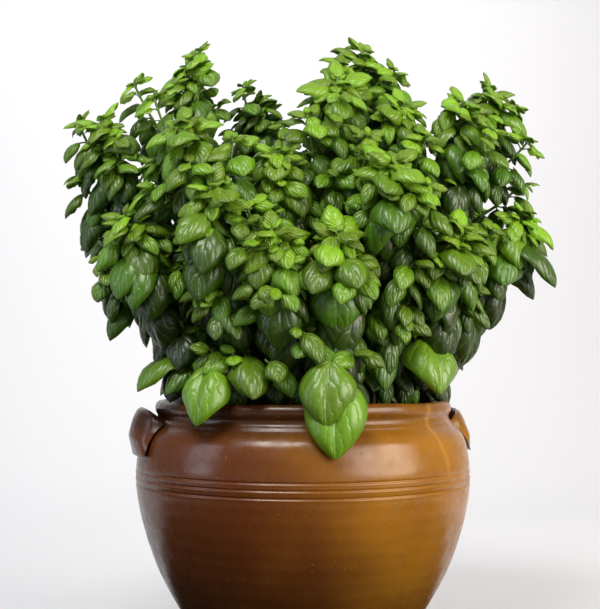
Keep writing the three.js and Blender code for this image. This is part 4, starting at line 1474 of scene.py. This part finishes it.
# ---- settings that a user may change ----
def colour_property(name, description, default):
    return FloatVectorProperty(
        name=name, description=description, default=linear(default)[:3], size=3, min=0, max=1,
        subtype="COLOR",
    )


def power_property(name, description, default):
    return FloatProperty(name=name, description=description, default=default, min=0, unit="POWER")


class BasilPotSettings(bpy.types.PropertyGroup):
    groove_depth: FloatProperty(
        name="Groove depth", description="Depth of the turned lines round the belly, in metres",
        default=GROOVE_DEPTH * MM, min=0, max=0.003, unit="LENGTH",
    )
    stray: FloatProperty(
        name="Hand-thrown stray", description="How far the wall strays from round, in metres",
        default=THROWN * MM, min=0, max=0.003, unit="LENGTH",
    )
    # brown is the glaze away from +X and partly painted shade there; ochre is the glaze towards +X and partly
    # painted light from the softbox
    brown: colour_property("Brown glaze", "The glaze where it ran thick", "#683615")
    ochre: colour_property("Ochre glaze", "The glaze where the ash settled", "#a8721c")


class BasilSoilSettings(bpy.types.PropertyGroup):
    lumps: FloatProperty(
        name="Lumps", description="Height of the lumps in the soil's top, in metres",
        default=SOIL_LUMPS * MM, min=0, max=0.01, unit="LENGTH",
    )


class BasilBushSettings(bpy.types.PropertyGroup):
    thickness: FloatProperty(
        name="Blade thickness", description="Thickness of a leaf's blade, in metres",
        default=BLADE_THICKNESS * MM, min=0.0001, max=0.002, unit="LENGTH",
    )
    side_shoots: FloatProperty(
        name="Side shoots", description="Share of the leaf joints that carry a side shoot",
        default=SHOOT_CHANCE, min=0, max=1, subtype="FACTOR",
    )
    young: colour_property("Young leaf", "Leaves at the tips", "#7aaa1c")
    grown: colour_property("Grown leaf", "Leaves half-way down a stem", "#437010")
    old: colour_property("Old leaf", "The lowest leaves", "#2a4207")


class BasilStudioSettings(bpy.types.PropertyGroup):
    key: power_property("Softbox", "Power of the softbox at the right", 32)
    top: power_property("Overhead", "Power of the light overhead", 24)
    fill: power_property("Fill", "Power of the fill light at the left", 7)
    backdrop: power_property("Backdrop", "Power of the light on the paper", 18)
    camera_distance: FloatProperty(
        name="Camera distance", description="From the lens to the pot's axis, in metres",
        default=1.1, min=0.3, max=5, unit="LENGTH",
    )


# ---- operators for the plant and its pot ----
class BASIL_OT_pot(bpy.types.Operator):
    """Build the glazed stoneware pot with its grooves, lip and two ears"""

    bl_idname = "basil.pot"
    bl_label = "Glazed Pot"

    def execute(self, context):
        settings = context.scene.basil_pot
        glaze = glaze_material((*settings.brown, 1.0), (*settings.ochre, 1.0))
        pot_piece(glaze, settings.groove_depth / MM, settings.stray / MM)
        return {"FINISHED"}


class BASIL_OT_soil(bpy.types.Operator):
    """Build the lumpy potting soil"""

    bl_idname = "basil.soil"
    bl_label = "Potting Soil"

    def execute(self, context):
        soil_piece(soil_material(), context.scene.basil_soil.lumps / MM)
        return {"FINISHED"}


class BASIL_OT_bush(bpy.types.Operator):
    """Grow the stems, side branches, leaf stalks and leaves"""

    bl_idname = "basil.bush"
    bl_label = "Basil Stems and Leaves"

    def execute(self, context):
        settings = context.scene.basil_bush
        colours = [(*colour, 1.0) for colour in (settings.young, settings.grown, settings.old)]
        upper = blade_material("waxy_basil_leaf", False, colours)
        under = blade_material("basil_leaf_underside", True, colours)
        green = stalk_material()
        for stem, leaves, shoots in grow_bush(settings.side_shoots):
            leaf_piece(stem, leaves, [upper, under], settings.thickness)
            stalk_piece(stem, leaves, shoots, green)
        return {"FINISHED"}


# ---- studio ----
# the camera: its azimuth and height, and where the photo has the pot's axis and the horizon, in pixels
CAMERA_AZIMUTH = radians(-15)
CAMERA_HEIGHT = 0.3
IMAGE_SIZE = (600, 609)
FOCAL_PIXELS = 1061
HORIZON_ROW = 365
AXIS_COLUMN = 303
SENSOR = 36.0

# what the lights face, in metres to the right, beyond and above the pot's foot as the camera sees it
PLANT_MIDDLE = (0, 0, 0.3)
PAPER_MIDDLE = (-0.35, 2.15, 0.8)
# each light, under the setting of its power: its name, degrees to the right of the camera and above the
# floor, distance from what it faces, width and height, its colour, and what it faces
LIGHTS = {
    "key": ("softbox_right", 54, 15, 1.7, (1.35, 1.1), "#fff4ea", PLANT_MIDDLE),
    "top": ("light_overhead", -24, 52, 1.9, (0.9, 0.7), "#fffdf8", PLANT_MIDDLE),
    "fill": ("fill_left", -70, 14, 1.9, (0.6, 1.2), "#dfe9ff", PLANT_MIDDLE),
    "backdrop": ("backdrop_light", 0, 40, 1.7, (2.4, 0.6), "#ffffff", PAPER_MIDDLE),
}
AIR_COLOUR = "#eef2f8"
AIR_STRENGTH = 0.17

# the sheets, in millimetres: distances beyond the pot's axis and heights, widths, and how far each lies
# under the pot's foot, so that nothing lies in one plane
PAPER_FROM, PAPER_FLAT_TO, PAPER_TOP = -2600, 1100, 3400
PAPER_BEND = 1050
PAPER_RISE = [
    (PAPER_FLAT_TO + PAPER_BEND * sin(a), PAPER_BEND * (1 - cos(a))) for a in np.linspace(0, pi / 2, 25)
]
PAPER = ((PAPER_FROM, 0), *PAPER_RISE, (PAPER_FLAT_TO + PAPER_BEND, PAPER_TOP))
PAPER_WIDTH = 8000
PAPER_SUNK = 2
FELT = ((-1100, 0), (120, 0))
FELT_WIDTH = 1700
FELT_SUNK = 0.5


def add_camera(distance):
    """A camera at a distance from the pot's axis, aimed so that the axis and the horizon are where the
    photo has them."""
    data = bpy.data.cameras.new("camera")
    data.lens = FOCAL_PIXELS / max(IMAGE_SIZE) * SENSOR
    data.sensor_width = SENSOR
    camera = bpy.data.objects.new("camera", data)
    bpy.context.scene.collection.objects.link(camera)
    camera.location = (distance * sin(CAMERA_AZIMUTH), -distance * cos(CAMERA_AZIMUTH), CAMERA_HEIGHT)
    pitch = atan((HORIZON_ROW - IMAGE_SIZE[1] / 2) / FOCAL_PIXELS)
    yaw = atan((AXIS_COLUMN - IMAGE_SIZE[0] / 2) / FOCAL_PIXELS)
    camera.rotation_euler = (pi / 2 + pitch, 0, CAMERA_AZIMUTH + yaw)
    bpy.context.scene.camera = camera


def add_light(power, name, azimuth, elevation, distance, size, colour, target):
    """A rectangular light that faces its target."""
    data = bpy.data.lights.new(name, "AREA")
    data.shape = "RECTANGLE"
    data.size, data.size_y = size
    data.energy = power
    data.color = linear(colour)[:3]
    light = bpy.data.objects.new(name, data)
    bpy.context.scene.collection.objects.link(light)
    turn = CAMERA_AZIMUTH + radians(azimuth)
    lift = radians(elevation)
    away = Vector((sin(turn) * cos(lift), -cos(turn) * cos(lift), sin(lift)))
    faced = Matrix.Rotation(CAMERA_AZIMUTH, 3, "Z") @ Vector(target)
    light.location = faced + away * distance
    light.rotation_euler = away.to_track_quat("Z", "Y").to_euler()


def add_air():
    """The soft light of the room, the same from everywhere."""
    world = bpy.data.worlds.new("studio_air")
    world.use_nodes = True
    background = world.node_tree.nodes["Background"]
    background.inputs["Color"].default_value = linear(AIR_COLOUR)
    background.inputs["Strength"].default_value = AIR_STRENGTH
    bpy.context.scene.world = world


def add_sheet(name, profile, width, sunk, material):
    """A sheet of paper or felt, as wide as given, along a profile that runs away from the camera."""
    bm = bmesh.new()
    verts = [bm.verts.new((-width / 2, y, z - sunk)) for y, z in profile]
    edges = [bm.edges.new(pair) for pair in zip(verts, verts[1:])]
    swept = bmesh.ops.extrude_edge_only(bm, edges=edges)["geom"]
    moved = [v for v in swept if isinstance(v, bmesh.types.BMVert)]
    bmesh.ops.translate(bm, verts=moved, vec=(width, 0, 0))
    bmesh.ops.rotate(bm, verts=bm.verts, cent=(0, 0, 0), matrix=Matrix.Rotation(CAMERA_AZIMUTH, 3, "Z"))
    bmesh.ops.recalc_face_normals(bm, faces=bm.faces)
    finished(bm, name, [material])


class BASIL_OT_studio(bpy.types.Operator):
    """Set up the camera, the paper and felt, and the lights"""

    bl_idname = "basil.studio"
    bl_label = "Studio"

    def execute(self, context):
        settings = context.scene.basil_studio
        add_camera(settings.camera_distance)
        paper = stage_material("white_studio_paper", "#f6f6f8")
        felt = stage_material("dark_felt", "#2e231b")
        add_sheet("paper_sweep", PAPER, PAPER_WIDTH, PAPER_SUNK, paper)
        add_sheet("felt_mat", FELT, FELT_WIDTH, FELT_SUNK, felt)
        for setting, light in LIGHTS.items():
            add_light(getattr(settings, setting), *light)
        add_air()
        context.scene.view_settings.view_transform = "Standard"
        return {"FINISHED"}


# ---- panel and registration ----
# each step, which gives its settings the name basil_STEP and its operator basil.STEP
STEPS = {
    "studio": (BasilStudioSettings, BASIL_OT_studio),
    "pot": (BasilPotSettings, BASIL_OT_pot),
    "soil": (BasilSoilSettings, BASIL_OT_soil),
    "bush": (BasilBushSettings, BASIL_OT_bush),
}


class BASIL_PT_panel(bpy.types.Panel):
    """The settings and operators of the potted basil"""

    bl_label = "Potted Basil"
    bl_space_type = "VIEW_3D"
    bl_region_type = "UI"
    bl_category = "Basil"

    def draw(self, context):
        for step in STEPS:
            box = self.layout.box()
            settings = getattr(context.scene, "basil_" + step)
            for key in settings.__annotations__:
                box.prop(settings, key)
            box.operator("basil." + step)


CLASSES = (*(cls for pair in STEPS.values() for cls in pair), BASIL_PT_panel)


def register():
    for cls in CLASSES:
        bpy.utils.register_class(cls)
    for step, (settings, _) in STEPS.items():
        setattr(bpy.types.Scene, "basil_" + step, PointerProperty(type=settings))


def unregister():
    for step in STEPS:
        delattr(bpy.types.Scene, "basil_" + step)
    for cls in reversed(CLASSES):
        bpy.utils.unregister_class(cls)


def main():
    """Builds the whole scene."""
    register()
    bpy.ops.basil.studio()
    bpy.ops.basil.pot()
    bpy.ops.basil.soil()
    bpy.ops.basil.bush()


if __name__ == "__main__":
    main()
